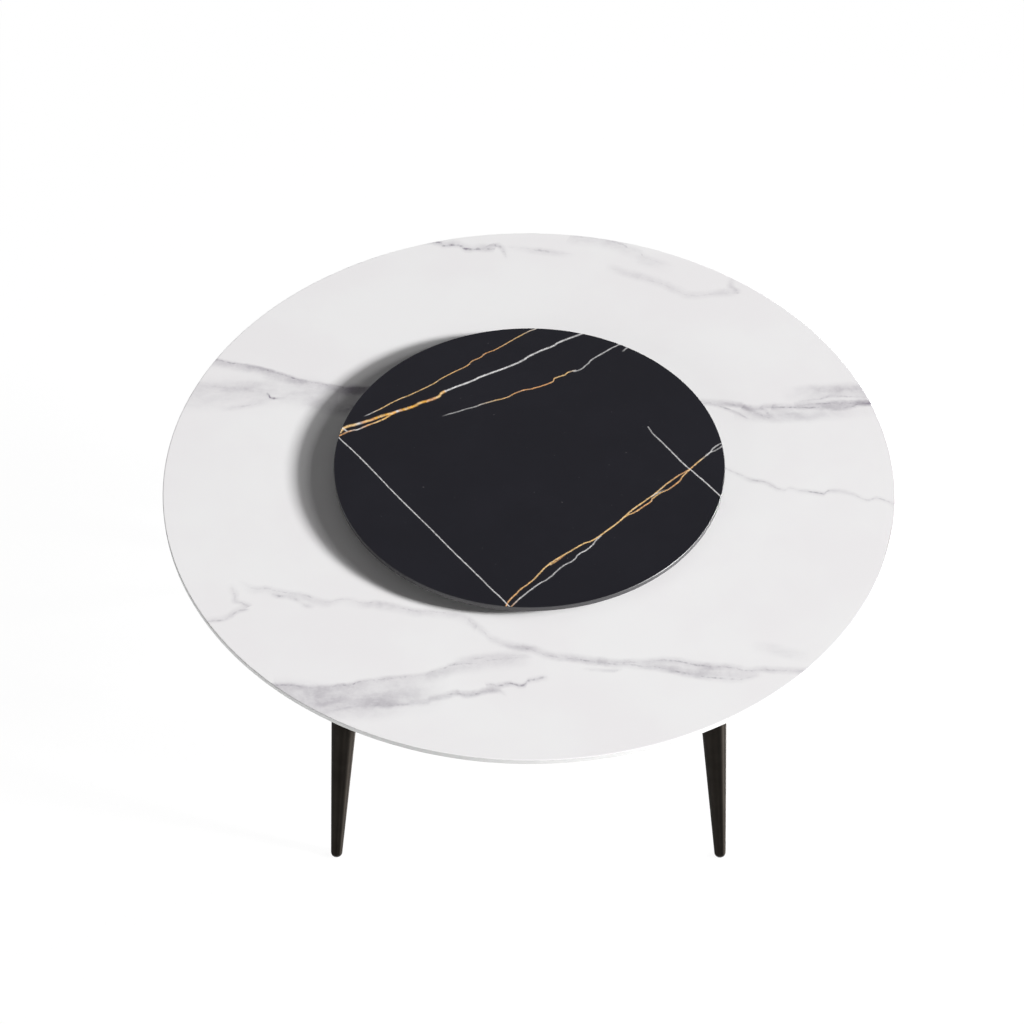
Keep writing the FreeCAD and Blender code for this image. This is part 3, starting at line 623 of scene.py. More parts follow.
def wandering(nodes, place, size, amount):
    """The place of a point, pushed about by noise so that drawn lines wander."""
    noise = nodes.noise(place, size, detail=4, roughness=0.6, output="Color")
    centred = nodes.add("VectorMath", {0: noise, 1: (0.5, 0.5, 0.5)}, operation="SUBTRACT").outputs[0]
    shift = nodes.add("VectorMath", {0: centred, "Scale": amount}, operation="SCALE").outputs[0]
    return nodes.add("VectorMath", {0: place, 1: shift}, operation="ADD").outputs[0]


def facing_below(nodes, limit):
    """1 on the faces that point up less than a limit, and 0 on the others."""
    upward = nodes.dot(nodes.add("TexCoord").outputs["Normal"], (0, 0, 1))
    return nodes.math("LESS_THAN", upward, limit)


def backing(nodes, place, tone, pitch=0.005, thread=0.0012):
    """The underside of a slab: a glass fibre mesh bedded in a patchy coat of resin."""
    x, y, _ = nodes.parts(place)
    nearest = nodes.math("MINIMUM", *(nodes.math("PINGPONG", axis, pitch / 2) for axis in (x, y)))
    cloud = nodes.patches(place, 0.09, SOFT_NOISE, detail=4, roughness=0.6)
    resin = nodes.mottled(cloud, tone, scale=0.9)
    return nodes.mix(nodes.remap(nearest, (0, thread / 2), (0.45, 0)), resin, scaled(tone, 0.72))


def cut_faces(nodes, place, tone, settings):
    """The tone of a slab's face, with other tones on its cut edge and its underside."""
    tone = nodes.mix(facing_below(nodes, EDGE_LIMIT), tone, opaque(settings.edge))
    return nodes.mix(facing_below(nodes, BACK_LIMIT), tone, backing(nodes, place, settings.back))


def white_stone(settings):
    """Honed white stone with soft grey veins that fade to smoke on one side."""
    material, nodes, place = new_material("white_stone")
    wander = wandering(nodes, wandering(nodes, place, size=0.05, amount=0.005), size=0.012, amount=0.005)
    streaks = nodes.add("Mapping", {"Vector": wander, "Scale": (1, 2.5, 1)}).outputs[0]
    streak = nodes.patches(streaks, 0.035, WIDE_NOISE, (0.35, 1.15), detail=4, roughness=0.6)
    speckle = nodes.patches(place, 0.008, SOFT_NOISE, (0.55, 1.25), roughness=0.6)
    grain = nodes.math("MULTIPLY", streak, speckle)
    drift = nodes.patches(streaks, 0.08, WIDE_NOISE, (0.5, 1.15), detail=4, roughness=0.55)
    smudge = nodes.patches(wander, 0.02, WIDE_NOISE, (0.7, 1.25), roughness=0.6)
    smoke = nodes.math("MULTIPLY", drift, smudge)
    cloud = nodes.patches(place, 0.22, SOFT_NOISE)
    tone = nodes.mix(cloud, opaque(settings.body), opaque(settings.shade))
    for vein in WHITE_VEINS:
        tone = lay_vein(nodes, wander, grain, smoke, tone, vein, {"grey": settings.vein})
    tone = cut_faces(nodes, place, tone, settings)
    rough = nodes.patches(place, 0.03, WIDE_NOISE, around(settings.polish, 0.03))
    nodes.surface(Base_Color=tone, Roughness=rough)
    return material


def black_stone(settings):
    """Polished black stone with sharp gold and white veins and a few pale specks."""
    material, nodes, place = new_material("black_stone")
    wander = wandering(nodes, place, size=0.012, amount=0.0018)
    grain = nodes.patches(place, 0.008, (0.3, 0.65), (0.6, 1.15), roughness=0.6)
    fleck = nodes.patches(place, 0.005, (0.52, 0.62), (0, 0.45), roughness=0.7)
    palette = {name: getattr(settings, name) for name in ("pale", "gold", "amber", "honey")}
    cloud = nodes.patches(place, 0.15, (0.4, 0.7), detail=4, roughness=0.6)
    tone = nodes.mottled(cloud, settings.body, scale=1.12)
    speck = nodes.patches(place, 0.007, (0.75, 0.8), (0, 0.16), detail=2)
    tone = nodes.mix(speck, tone, opaque(settings.pale))
    for vein in BLACK_VEINS:
        tone = lay_vein(nodes, wander, grain, grain, tone, vein, palette, fleck)
    tone = cut_faces(nodes, place, tone, settings)
    worn = nodes.patches(place, 0.02, WIDE_NOISE, around(settings.polish, 0.01))
    cut = nodes.math("MULTIPLY", facing_below(nodes, EDGE_LIMIT), settings.edge_polish)
    rough = nodes.math("MAXIMUM", worn, cut)
    nodes.surface(Base_Color=tone, Roughness=rough)
    return material


def leg_plating(settings):
    """Black-brown plating on turned steel. Its turning marks draw the light into a line along the leg."""
    material, nodes, place = new_material("leg_plating")
    cloud = nodes.noise(place, size=0.04)
    tone = nodes.mottled(nodes.remap(cloud, SOFT_NOISE), settings.metal, scale=0.85)
    rough = nodes.remap(cloud, WIDE_NOISE, around(settings.polish, 0.02))
    lean = middle_of("leg_flange_back_right") - middle_of("glide_pad_back_right")
    x, y, _ = nodes.parts(place)
    slant_x = nodes.math("MULTIPLY", nodes.math("SIGN", x), lean.x)
    slant_y = nodes.math("MULTIPLY", nodes.math("SIGN", y), lean.y)
    along = nodes.add("CombineXYZ", {0: slant_x, 1: slant_y, 2: lean.z}).outputs[0]
    nodes.surface(Base_Color=tone, Roughness=rough, Metallic=1, Specular_Tint=opaque(settings.limb),
                  Anisotropic=settings.turning, Tangent=along)
    return material


def coat(name):
    """One of the finishes: its tone and gloss vary a little and its skin has a fine grain."""
    finish = FINISHES[name]
    material, nodes, place = new_material(name)
    cloud = nodes.noise(place, size=finish.grain * 12)
    tone = nodes.mottled(nodes.remap(cloud, SOFT_NOISE), finish.tone, scale=0.82)
    rough = nodes.remap(cloud, WIDE_NOISE, around(finish.roughness, finish.roughness * 0.12))
    bumps = nodes.bump(nodes.noise(place, finish.grain), finish.depth, strength=0.6)
    nodes.surface(Base_Color=tone, Roughness=rough, Normal=bumps, Metallic=finish.metallic)
    return material


def turned_aluminium(tone=(0.8, 0.8, 0.81), roughness=0.3, groove=0.0004):
    """Aluminium turned on a lathe about the table's axis, with fine rings on its faces."""
    material, nodes, place = new_material("turned_aluminium")
    x, y, z = nodes.parts(place)
    squares = [nodes.math("POWER", axis, 2) for axis in (x, y)]
    radius = nodes.math("SQRT", nodes.math("ADD", *squares))
    inputs = {"W": nodes.math("ADD", radius, z), "Scale": 1 / groove, "Detail": 2}
    rings = nodes.add("TexNoise", inputs, noise_dimensions="1D").outputs[0]
    shade = nodes.mottled(rings, tone, scale=0.8)
    rough = nodes.remap(rings, WIDE_NOISE, around(roughness, roughness * 0.2))
    bumps = nodes.bump(rings, groove * 0.1, strength=0.4)
    nodes.surface(Base_Color=shade, Roughness=rough, Metallic=1, Normal=bumps)
    return material


def clear_silicone():
    """Translucent silicone, slightly cloudy."""
    material, nodes, place = new_material("silicone")
    cloud = nodes.noise(place, size=0.004)
    tone = nodes.mix(cloud, opaque((0.72, 0.74, 0.75)), opaque((0.82, 0.83, 0.83)))
    rough = nodes.remap(cloud, WIDE_NOISE, (0.28, 0.4))
    nodes.surface(Base_Color=tone, Roughness=rough, Transmission_Weight=0.45, IOR=1.41)
    return material


def deselect():
    """Leaves nothing selected, in object mode."""
    if bpy.context.mode != "OBJECT":
        bpy.ops.object.mode_set(mode="OBJECT")
    bpy.ops.object.select_all(action="DESELECT")


def activate(piece):
    """Selects one piece alone and makes it active."""
    deselect()
    piece.select_set(True)
    bpy.context.view_layer.objects.active = piece


def new_piece(name):
    """Names the object that was just added."""
    piece = bpy.context.object
    piece.name = piece.data.name = name
    return piece


def edit(piece):
    """Opens one piece for editing with nothing selected in it."""
    activate(piece)
    bpy.ops.object.mode_set(mode="EDIT")
    bpy.ops.mesh.select_all(action="DESELECT")


def end_edit():
    """Closes the open piece."""
    bpy.ops.object.mode_set(mode="OBJECT")


def pick(kind, test):
    """Selects the points, edges or faces of the open piece that pass a test."""
    bpy.ops.mesh.select_mode(type=kind)
    bpy.ops.mesh.select_all(action="DESELECT")
    mesh = bmesh.from_edit_mesh(bpy.context.edit_object.data)
    for item in {"VERT": mesh.verts, "EDGE": mesh.edges, "FACE": mesh.faces}[kind]:
        if test(item):
            item.select_set(True)
    mesh.select_flush_mode()
    bmesh.update_edit_mesh(bpy.context.edit_object.data)


def pick_all():
    """Selects the whole of the open piece."""
    bpy.ops.mesh.select_all(action="SELECT")


def is_level(edge):
    return abs(edge.verts[0].co.z - edge.verts[1].co.z) < MERGE_DISTANCE


def apply_modifier(kind, **settings):
    """Adds a modifier to the active piece and applies it."""
    bpy.ops.object.modifier_add(type=kind)
    modifier = bpy.context.object.modifiers[-1]
    for name, value in settings.items():
        setattr(modifier, name, value)
    bpy.ops.object.modifier_apply(modifier=modifier.name)


def settle(piece, smooth_degrees=40):
    """Puts the place of a piece into its mesh and smooths its gentle edges."""
    activate(piece)
    bpy.ops.object.transform_apply(location=True, rotation=True, scale=True)
    bpy.ops.object.shade_smooth_by_angle(angle=math.radians(smooth_degrees))


def copy_piece(piece, name):
    """A copy with its own mesh."""
    activate(piece)
    bpy.ops.object.duplicate()
    return new_piece(name)


def corner_copies(model, name):
    """Each corner in turn, with a copy of a model for it. The model is removed after the last one."""
    for corner in CORNERS:
        yield corner, copy_piece(model, name + corner)
    bpy.data.objects.remove(model)


def join_pieces(pieces, name):
    """Makes one piece of several."""
    activate(pieces[0])
    for piece in pieces:
        piece.select_set(True)
    bpy.ops.object.join()
    return new_piece(name)


def hand_over(piece, body, slot, material, *nodes):
    """Gives a finished piece its material, its body and the nodes that it stands for."""
    piece.data.materials.clear()
    piece.data.materials.append(material)
    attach(piece, body)
    if nodes:
        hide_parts(*nodes)


def middle_of(node):
    low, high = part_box(node)
    return (low + high) / 2


def foot_of(low, high):
    """The middle of a box's lower face."""
    return Vector(((low.x + high.x) / 2, (low.y + high.y) / 2, low.z))


def solid_boxes(node):
    """The box of each separate solid of a node, measured on a copy that is then deleted."""
    deselect()
    copy = frame["nodes"][node].copy()
    copy.data = copy.data.copy()
    bpy.context.scene.collection.objects.link(copy)
    edit(copy)
    pick_all()
    bpy.ops.mesh.remove_doubles(threshold=MERGE_DISTANCE)
    bpy.ops.mesh.separate(type="LOOSE")
    end_edit()
    boxes = []
    for part in bpy.context.selected_objects:
        corners = [Vector(corner) for corner in part.bound_box]
        boxes.append((Vector(map(min, *corners)), Vector(map(max, *corners))))
    bpy.ops.object.delete()
    return boxes


def draw_out(name, sides, stations):
    """A round form about the Z axis: a circle drawn up through stations of height and radius."""
    (height, radius), *others = stations
    deselect()
    bpy.ops.mesh.primitive_circle_add(vertices=sides, radius=radius, fill_type="NGON",
                                      location=(0, 0, height))
    form = new_piece(name)
    bpy.ops.object.transform_apply(location=True)
    edit(form)
    pick_all()
    for next_height, next_radius in others:
        bpy.ops.mesh.extrude_region_move(TRANSFORM_OT_translate={"value": (0, 0, next_height - height)})
        growth = next_radius / radius
        bpy.ops.transform.resize(value=(growth, growth, 1), center_override=(0, 0, next_height))
        height, radius = next_height, next_radius
    pick_all()
    bpy.ops.mesh.normals_make_consistent()
    end_edit()
    return form


def cut_level(height, keep_above):
    """Cuts the open piece level at one height and closes the cut."""
    pick_all()
    bpy.ops.mesh.bisect(plane_co=(0, 0, height), plane_no=(0, 0, 1), use_fill=True,
                        clear_inner=keep_above, clear_outer=not keep_above)


def spread(model, places, name):
    """Copies a model to places, each a point and a turn about Z, and joins the copies into one piece."""
    copies = []
    for index, (point, turn) in enumerate(places):
        copy = copy_piece(model, f"{name}_{index}")
        copy.rotation_euler.z = turn
        copy.location = point
        copies.append(copy)
    bpy.data.objects.remove(model)
    piece = join_pieces(copies, name)
    settle(piece)
    return piece


def stone_disc(name, node, settings):
    """A round slab: a cylinder whose rims are worked and whose faces are divided by rings."""
    low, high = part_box(node)
    radius = high.x
    deselect()
    bpy.ops.mesh.primitive_cylinder_add(vertices=settings.rim_points, radius=radius, depth=high.z - low.z,
                                        location=(0, 0, (low.z + high.z) / 2))
    slab = new_piece(name)
    edit(slab)
    pick("EDGE", is_level)
    bpy.ops.mesh.bevel(offset=settings.edge_size, segments=settings.edge_steps, profile=ROUND_PROFILE)
    pick("FACE", lambda face: len(face.verts) == settings.rim_points)
    for ring_width in (settings.edge_size, *(radius * part for part in RING_SHARES)):
        bpy.ops.mesh.inset(thickness=ring_width)
    bpy.ops.mesh.poke()
    settle(slab)
    apply_modifier("WEIGHTED_NORMAL", keep_sharp=True)
    return slab


class DINING_TABLE_OT_add_top(Operator):
    """Model the white stone slab of the table"""

    bl_idname = "dining_table.add_top"
    bl_label = "Table Top"

    def execute(self, context):
        settings = context.scene.dining_table.top
        slab = stone_disc("table_top_stone", "table_top", settings)
        hand_over(slab, "table", "white_stone", white_stone(settings), "table_top")
        return {"FINISHED"}


class DINING_TABLE_OT_add_turntable(Operator):
    """Model the black stone slab that turns"""

    bl_idname = "dining_table.add_turntable"
    bl_label = "Turntable"

    def execute(self, context):
        settings = context.scene.dining_table.turntable
        slab = stone_disc("turntable_stone", "turntable_slab", settings)
        hand_over(slab, "turntable", "black_stone", black_stone(settings), "turntable_slab")
        return {"FINISHED"}


class DINING_TABLE_OT_add_legs(Operator):
    """Model one tapered leg between its glide and its flange, and copy it to the four corners"""

    bl_idname = "dining_table.add_legs"
    bl_label = "Legs"

    def execute(self, context):
        settings = context.scene.dining_table.legs
        material = leg_plating(settings)
        model = self.model("leg_model", settings, CORNERS[0])
        for quarter, (corner, leg) in enumerate(corner_copies(model, "tapered_leg_")):
            leg.rotation_euler.z = QUARTER_TURN * quarter
            settle(leg)
            apply_modifier("WEIGHTED_NORMAL", keep_sharp=True)
            hand_over(leg, "table", "leg_paint", material, "leg_" + corner)
        return {"FINISHED"}

    def model(self, name, settings, corner):
        """A circle drawn out step by step along the leg, then leaned over and cut level at both ends."""
        bottom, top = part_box("leg_" + corner)[0].z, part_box("leg_flange_" + corner)[0].z
        foot, head = middle_of("glide_pad_" + corner), middle_of("leg_flange_" + corner)
        foot.z, head.z = bottom, top
        lean = head - foot
        foot_radius, top_radius = settings.foot_diameter / 2, settings.top_diameter / 2
        # The form is drawn beyond both ends, so that the level cuts go right through it
        spare = top_radius / lean.length
        stations = []
        for index in range(settings.rings + 1):
            part = -spare + (1 + 2 * spare) * index / settings.rings
            # The swell is at its full size at half height
            swell = settings.swell * 4 * part * (1 - part)
            stations.append((part * lean.length, foot_radius + (top_radius - foot_radius) * part + swell))
        leg = draw_out(name, settings.sides, stations)
        leg.rotation_euler = lean.to_track_quat("Z", "Y").to_euler()
        leg.location = foot
        bpy.ops.object.transform_apply(location=True, rotation=True)
        edit(leg)
        cut_level(bottom, keep_above=True)
        cut_level(top, keep_above=False)
        pick("EDGE", lambda edge: is_level(edge) and abs(edge.verts[0].co.z - bottom) < MERGE_DISTANCE)
        bpy.ops.mesh.bevel(offset=settings.foot_bevel, segments=BEVEL_STEPS)
        end_edit()
        return leg


class DINING_TABLE_OT_add_glides(Operator):
    """Model the rounded pads that the legs stand on, and their threaded studs"""

    bl_idname = "dining_table.add_glides"
    bl_label = "Glides"

    def execute(self, context):
        settings = context.scene.dining_table.hardware
        plastic = coat("glide_plastic")
        low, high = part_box("glide_pad_" + CORNERS[0])
        model = self.pad("glide_model", (high.x - low.x) / 2, high.z - low.z, settings)
        for corner, pad in corner_copies(model, "glide_foot_"):
            pad.location = middle_of("glide_pad_" + corner)
            settle(pad)
            hand_over(pad, "glide_" + corner, "black_plastic", plastic, "glide_pad_" + corner)
        zinc = coat("stud_zinc")
        low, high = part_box("glide_stud_" + CORNERS[0])
        model = self.thread("stud_model", (high.x - low.x) / 2, high.z - low.z, settings)
        for corner, stud in corner_copies(model, "threaded_stud_"):
            stud.location = foot_of(*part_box("glide_stud_" + corner))
            settle(stud, smooth_degrees=30)
            hand_over(stud, "glide_" + corner, "zinc_steel", zinc, "glide_stud_" + corner)
        return {"FINISHED"}

    def pad(self, name, radius, height, settings):
        """A cylinder about the origin, rounded below and with its upper rim broken."""
        deselect()
        bpy.ops.mesh.primitive_cylinder_add(vertices=settings.glide_sides, radius=radius, depth=height)
        pad = new_piece(name)
        edit(pad)
        pick("EDGE", lambda edge: is_level(edge) and edge.verts[0].co.z < 0)
        bpy.ops.mesh.bevel(offset=height * settings.glide_rounding, segments=settings.glide_steps,
                           profile=ROUND_PROFILE)
        pick("EDGE", lambda edge: is_level(edge) and edge.verts[0].co.z > height / 2 - MERGE_DISTANCE)
        bpy.ops.mesh.bevel(offset=height * settings.glide_rim, segments=BEVEL_STEPS)
        end_edit()
        return pad

    def thread(self, name, radius, height, settings):
        """A screw thread: the side of one turn is wound up the Z axis and cut level at both ends."""
        pitch = settings.thread_pitch
        root = radius - settings.thread_depth
        # Radius of the side at shares of the pitch
        profile = {-0.5: root, -0.25: root, 0: radius, 0.25: radius, 0.5: root}
        deselect()
        bpy.ops.mesh.primitive_plane_add(size=pitch, rotation=(QUARTER_TURN, 0, 0))
        stud = new_piece(name)
        bpy.ops.object.transform_apply(rotation=True)
        edit(stud)
        pick("VERT", lambda point: point.co.x < 0)
        bpy.ops.mesh.delete(type="VERT")
        pick_all()
        bpy.ops.mesh.subdivide(number_cuts=len(profile) - 2)
        for station, reach in profile.items():
            pick("VERT", lambda point: abs(point.co.z - station * pitch) < MERGE_DISTANCE)
            bpy.ops.transform.translate(value=(reach - pitch / 2, 0, 0))
        end_edit()
        stud.location.z = -pitch
        bpy.ops.object.transform_apply(location=True)
        apply_modifier("SCREW", screw_offset=pitch, iterations=math.ceil(height / pitch) + SPARE_TURNS,
                       steps=settings.thread_steps, render_steps=settings.thread_steps,
                       use_merge_vertices=True, merge_threshold=MERGE_DISTANCE)
        edit(stud)
        pick_all()
        bpy.ops.mesh.remove_doubles(threshold=MERGE_DISTANCE)
        cut_level(0, keep_above=True)
        cut_level(height, keep_above=False)
        pick_all()
        bpy.ops.mesh.normals_make_consistent()
        end_edit()
        return stud


class DINING_TABLE_OT_add_bolts(Operator):
    """Model one hexagon bolt and copy it to every hole of the leg flanges"""

    bl_idname = "dining_table.add_bolts"
    bl_label = "Bolts"

    def execute(self, context):
        settings = context.scene.dining_table.hardware
        boxes = solid_boxes("leg_bolts")
        height = boxes[0][1].z - boxes[0][0].z
        bevel = settings.bolt_bevel
        head_height = settings.bolt_head_height
        head_radius = settings.bolt_head_width / math.sqrt(3)
        shank_radius = settings.bolt_diameter / 2
        head = draw_out("bolt_head", HEXAGON_SIDES, [
            (0, head_radius - 2 * bevel), (bevel, head_radius), (head_height, head_radius)])
        shank = draw_out("bolt_shank", settings.bolt_sides, [
            (head_height - bevel, shank_radius), (height - 2 * bevel, shank_radius),
            (height, shank_radius - 2 * bevel)])
        model = join_pieces([head, shank], "bolt_model")
        bolts = spread(model, [(foot_of(*box), settings.bolt_turn) for box in boxes], "hexagon_bolts")
        hand_over(bolts, "table", "zinc_steel", coat("bolt_zinc"), "leg_bolts")
        return {"FINISHED"}


class DINING_TABLE_OT_add_pads(Operator):
    """Model the silicone dabs and rubber feet, pressed out a little at their sides"""

    bl_idname = "dining_table.add_pads"
    bl_label = "Bonding Pads"

    def execute(self, context):
        settings = context.scene.dining_table.hardware
        silicone = clear_silicone()
        rubber = coat("foot_rubber")
        self.add("top_bond_dabs", "top_bond_pads", "table", "clear_silicone", silicone, settings)
        self.add("turntable_bond_dabs", "turntable_bond_pads", "turntable", "clear_silicone", silicone,
                 settings)
        self.add("bearing_rubber_feet", "bearing_base_pads", "table", "black_rubber", rubber, settings)
        return {"FINISHED"}

    def add(self, name, node, body, slot, material, settings):
        """One pad with a rounded side, copied to each pad of a node."""
        boxes = solid_boxes(node)
        low, high = boxes[0]
        radius, height = (high.x - low.x) / 2, high.z - low.z
        bulge = height * settings.pad_bulge
        side = []
        for index in range(settings.pad_steps + 1):
            turn = math.pi * index / settings.pad_steps
            side.append((height * (1 - math.cos(turn)) / 2, radius - bulge * (1 - math.sin(turn))))
        model = draw_out(name + "_model", settings.pad_sides, side)
        pads = spread(model, [(foot_of(*box), 0) for box in boxes], name)
        hand_over(pads, body, slot, material, node)


class DINING_TABLE_OT_add_welds(Operator):
    """Lay rippled weld beads round the leg tops and along the joints of the frame"""

    bl_idname = "dining_table.add_welds"
    bl_label = "Welds"

    def execute(self, context):
        settings = context.scene.dining_table.hardware
        paint = coat("weld_paint")
        model = self.leg_bead("leg_weld_model", context.scene.dining_table.legs.top_diameter, settings)
        for corner, ring in corner_copies(model, "leg_weld_"):
            ring.location = foot_of(*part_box("leg_flange_" + corner))
            settle(ring)
            hand_over(ring, "table", "leg_paint", bpy.data.materials["leg_plating"])
        low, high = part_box("rail_front")
        model = self.bead("bead_model", high.z - low.z, settings)
        hand_over(spread(model, self.joints(), "frame_weld_beads"), "table", "frame_paint", paint)
        hand_over(self.plate_beads("plate_weld_beads", settings), "table", "frame_paint", paint)
        return {"FINISHED"}

    def bead(self, name, run, settings):
        """A straight bead that stands on Z, with a ripple for each step of the torch."""
        ripples = round(run / settings.weld_ripple)
        radius = settings.weld_width / 2
        end = radius * settings.weld_end
        stations = [(0, end)]
        for index in range(ripples):
            stations.append((run * (index + RIPPLE_CREST) / ripples, radius))
            stations.append((run * (index + RIPPLE_NECK) / ripples, radius * settings.weld_neck))
        return draw_out(name, settings.weld_sides, [*stations, (run, end)])

    def joints(self):
        """Where upright beads stand: at both sides of the rails' ends, and where the beams meet."""
        low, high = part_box("rail_front")
        inner, outer = -high.y, -low.y
        beam_side = outer - high.x
        spots = [(sign * (reach - beam_side), -reach) for reach in (inner, outer) for sign in (-1, 1)]
        spots.append((0, -beam_side))
        places = []
        for quarter in range(len(CORNERS)):
            turn = QUARTER_TURN * quarter
            turning = Matrix.Rotation(turn, 3, "Z")
            places += [(turning @ Vector((*spot, low.z)), turn) for spot in spots]
        return places

    def plate_beads(self, name, settings):
        """Beads that lie along both sides of a beam on each mount plate."""
        low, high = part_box("rail_front")
        half_width = (-low.y - high.x) / math.sqrt(2)
        beads = []
        for corner in CORNERS:
            plate_low, plate_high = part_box("leg_mount_plate_" + corner)
            middle = middle_of("leg_mount_plate_" + corner)
            middle.z = plate_high.z
            along = Vector((middle.x, middle.y, 0)).normalized()
            across = Vector((-along.y, along.x, 0))
            # The plates lie on the diagonals, so their sides are shorter than their boxes
            run = (plate_high.x - plate_low.x) / math.sqrt(2) * settings.weld_share
            for side in (-1, 1):
                bead = self.bead("plate_bead", run, settings)
                bead.rotation_euler = along.to_track_quat("Z", "Y").to_euler()
                bead.location = middle + across * side * half_width - along * run / 2
                beads.append(bead)
        piece = join_pieces(beads, name)
        settle(piece)
        return piece

    def leg_bead(self, name, diameter, settings):
        """A ring of bead under a flange, its ripples pressed in between the steps of the torch."""
        ripples = round(math.pi * diameter / settings.weld_ripple)
        deselect()
        bpy.ops.mesh.primitive_torus_add(
            major_segments=ripples * RIPPLE_POINTS, minor_segments=settings.weld_sides,
            major_radius=diameter / 2, minor_radius=settings.weld_width / 2)
        ring = new_piece(name)
        edit(ring)
        step = math.tau / ripples
        pick("VERT", lambda point: math.atan2(point.co.y, point.co.x) % step < step * RIPPLE_PRESSED)
        bpy.ops.transform.shrink_fatten(value=-settings.weld_width * settings.weld_press)
        cut_level(0, keep_above=False)
        end_edit()
        return ring


class DINING_TABLE_OT_finish_frame(Operator):
    """Give every part of the ironwork that keeps its shape a finish of its own"""

    bl_idname = "dining_table.finish_frame"
    bl_label = "Ironwork Finishes"

    def execute(self, context):
        finishes = {
            "frame_paint": coat("frame_powder_coat"),
            "leg_paint": bpy.data.materials["leg_plating"],
            "black_plastic": coat("cap_plastic"),
            "zinc_steel": coat("zinc_plate"),
            "bearing_aluminium": turned_aluminium(),
            "ball_steel": coat("ball_steel"),
            "cage_nylon": coat("cage_nylon"),
        }
        for part in frame["record"]["subparts"]:
            node = frame["nodes"][part["node"]]
            if not node.hide_render:
                node.data.materials.clear()
                node.data.materials.append(finishes[part["material_slot"]])
        return {"FINISHED"}


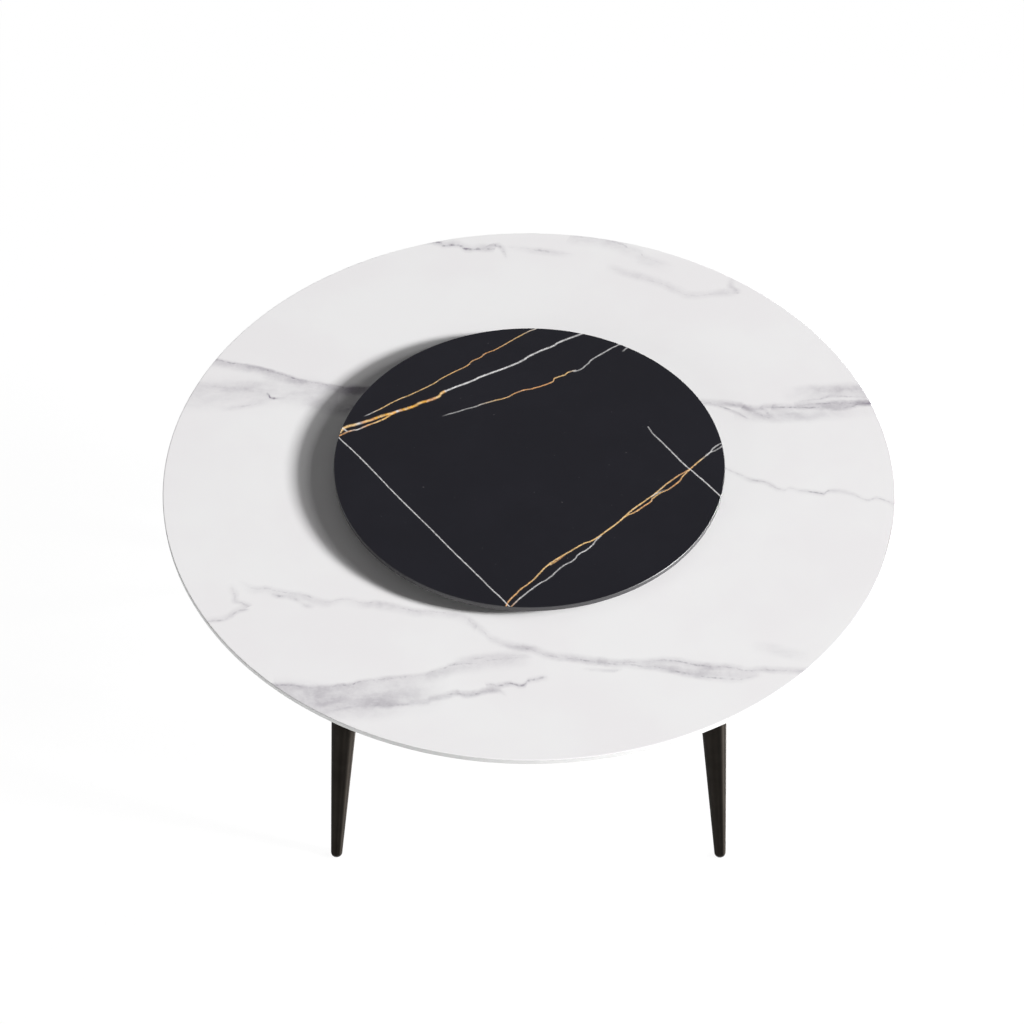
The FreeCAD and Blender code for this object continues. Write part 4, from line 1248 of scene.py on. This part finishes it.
class DINING_TABLE_OT_set_stage(Operator):
    """Lay the floor and set the lamps, the surroundings and the camera"""

    bl_idname = "dining_table.set_stage"
    bl_label = "Stage"

    def execute(self, context):
        settings = context.scene.dining_table.stage
        context.scene.view_settings.view_transform = "Standard"
        self.lay_floor(settings)
        self.set_world(context.scene, settings)
        for name in ("key", "upper", "rim", "front", "fill"):
            self.set_lamp(name + "_lamp", getattr(settings, name))
        self.set_camera(context.scene, settings)
        return {"FINISHED"}

    def seen(self, nodes):
        """1 where the camera, a gloss or a glass looks at the backdrop, and 0 for its light."""
        path = nodes.add("LightPath")
        looks = nodes.math("MAXIMUM", path.outputs["Is Camera Ray"], path.outputs["Is Glossy Ray"])
        return nodes.math("MAXIMUM", looks, path.outputs["Is Transmission Ray"])

    def lay_floor(self, settings):
        """A floor that looks plain white, apart from a trace of the object's shadow near the middle."""
        deselect()
        bpy.ops.mesh.primitive_plane_add(size=settings.floor_size)
        floor = new_piece("floor")
        floor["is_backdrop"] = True
        material, nodes, place = new_material("white_floor")
        matt = nodes.add("BsdfDiffuse", {"Color": opaque([settings.floor_tone] * 3)})
        glow = nodes.add("Emission", {"Color": WHITE})
        away = nodes.add("VectorMath", {0: place}, operation="LENGTH").outputs["Value"]
        plain = nodes.remap(away, (0, settings.floor_fade), (1 - settings.floor_shadow, 1))
        white = nodes.math("MULTIPLY", self.seen(nodes), plain)
        both = nodes.add("MixShader", {0: white, 1: matt.outputs[0], 2: glow.outputs[0]})
        nodes.add("OutputMaterial", {"Surface": both.outputs[0]})
        floor.data.materials.append(material)

    def set_world(self, scene, settings):
        """A white backdrop that fades to a dim ceiling, and an even soft light."""
        scene.world = bpy.data.worlds.new("studio")
        nodes = Nodes(scene.world)
        height = nodes.dot(nodes.add("TexCoord").outputs["Generated"], (0, 0, 1))
        overhead = nodes.remap(height, (settings.ceiling_start, settings.ceiling_end))
        backdrop = nodes.mix(overhead, WHITE, opaque([settings.ceiling] * 3))
        tone = nodes.mix(self.seen(nodes), opaque([settings.ambient] * 3), backdrop)
        light = nodes.add("Background", {"Color": tone})
        nodes.add("OutputWorld", {"Surface": light.outputs[0]})

    def set_lamp(self, name, settings):
        """A square lamp that looks at the middle of the table top."""
        turn, rise = settings.turn, settings.rise
        level_reach = math.cos(rise)
        towards = Vector((level_reach * math.cos(turn), -level_reach * math.sin(turn), math.sin(rise)))
        bpy.ops.object.light_add(type="AREA", location=middle_of("table_top") + towards * settings.distance,
                                 rotation=towards.to_track_quat("Z", "Y").to_euler())
        lamp = new_piece(name)
        lamp.data.size = settings.size
        lamp.data.energy = settings.power

    def set_camera(self, scene, settings):
        """The camera of the photograph, as fitted to its outlines."""
        turn = Matrix.Rotation(-settings.camera_turn, 3, "Z")
        tilt = Matrix.Rotation(QUARTER_TURN - settings.camera_tilt, 3, "X")
        roll = Matrix.Rotation(settings.camera_roll, 3, "Z")
        place = turn @ Vector((0, -settings.camera_distance, settings.camera_height))
        bpy.ops.object.camera_add(location=place, rotation=(turn @ tilt @ roll).to_euler())
        camera = new_piece("camera")
        camera.data.sensor_width = settings.sensor_width
        camera.data.lens = settings.focal_length
        camera.data.shift_x = -settings.camera_shift
        camera.data.clip_end = settings.floor_size
        scene.camera = camera


STEPS = (DINING_TABLE_OT_add_top, DINING_TABLE_OT_add_turntable, DINING_TABLE_OT_add_legs,
         DINING_TABLE_OT_add_glides, DINING_TABLE_OT_add_bolts, DINING_TABLE_OT_add_pads,
         DINING_TABLE_OT_add_welds, DINING_TABLE_OT_finish_frame, DINING_TABLE_OT_set_stage)


class DINING_TABLE_PT_steps(Panel):
    """Lists the steps that make the table, and their settings"""

    bl_idname = "DINING_TABLE_PT_steps"
    bl_label = "Dining Table"
    bl_space_type = "VIEW_3D"
    bl_region_type = "UI"
    bl_category = "Table"

    def draw(self, context):
        for step in STEPS:
            self.layout.operator(step.bl_idname)
        self.list_settings(self.layout, context.scene.dining_table)

    def list_settings(self, layout, settings):
        """A box of settings, with a smaller box in it for each group among them."""
        box = layout.box()
        for name in settings.__annotations__:
            value = getattr(settings, name)
            if isinstance(value, PropertyGroup):
                self.list_settings(box, value)
            else:
                box.prop(settings, name)


CLASSES = (TopSettings, TurntableSettings, LegSettings, HardwareSettings,
           KeyLampSettings, UpperLampSettings, RimLampSettings, FrontLampSettings, FillLampSettings,
           StageSettings, TableSettings, *STEPS, DINING_TABLE_PT_steps)


def register():
    for kind in CLASSES:
        bpy.utils.register_class(kind)
    bpy.types.Scene.dining_table = PointerProperty(type=TableSettings)


def unregister():
    del bpy.types.Scene.dining_table
    for kind in reversed(CLASSES):
        bpy.utils.unregister_class(kind)


def main():
    register()
    for step in STEPS:
        group, name = step.bl_idname.split(".")
        getattr(getattr(bpy.ops, group), name)()
    sizes = {"cad": cad_box, "visual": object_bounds()}
    {name: [list(corner) for corner in box] for name, box in sizes.items()}


if __name__ == "__main__":
    main()
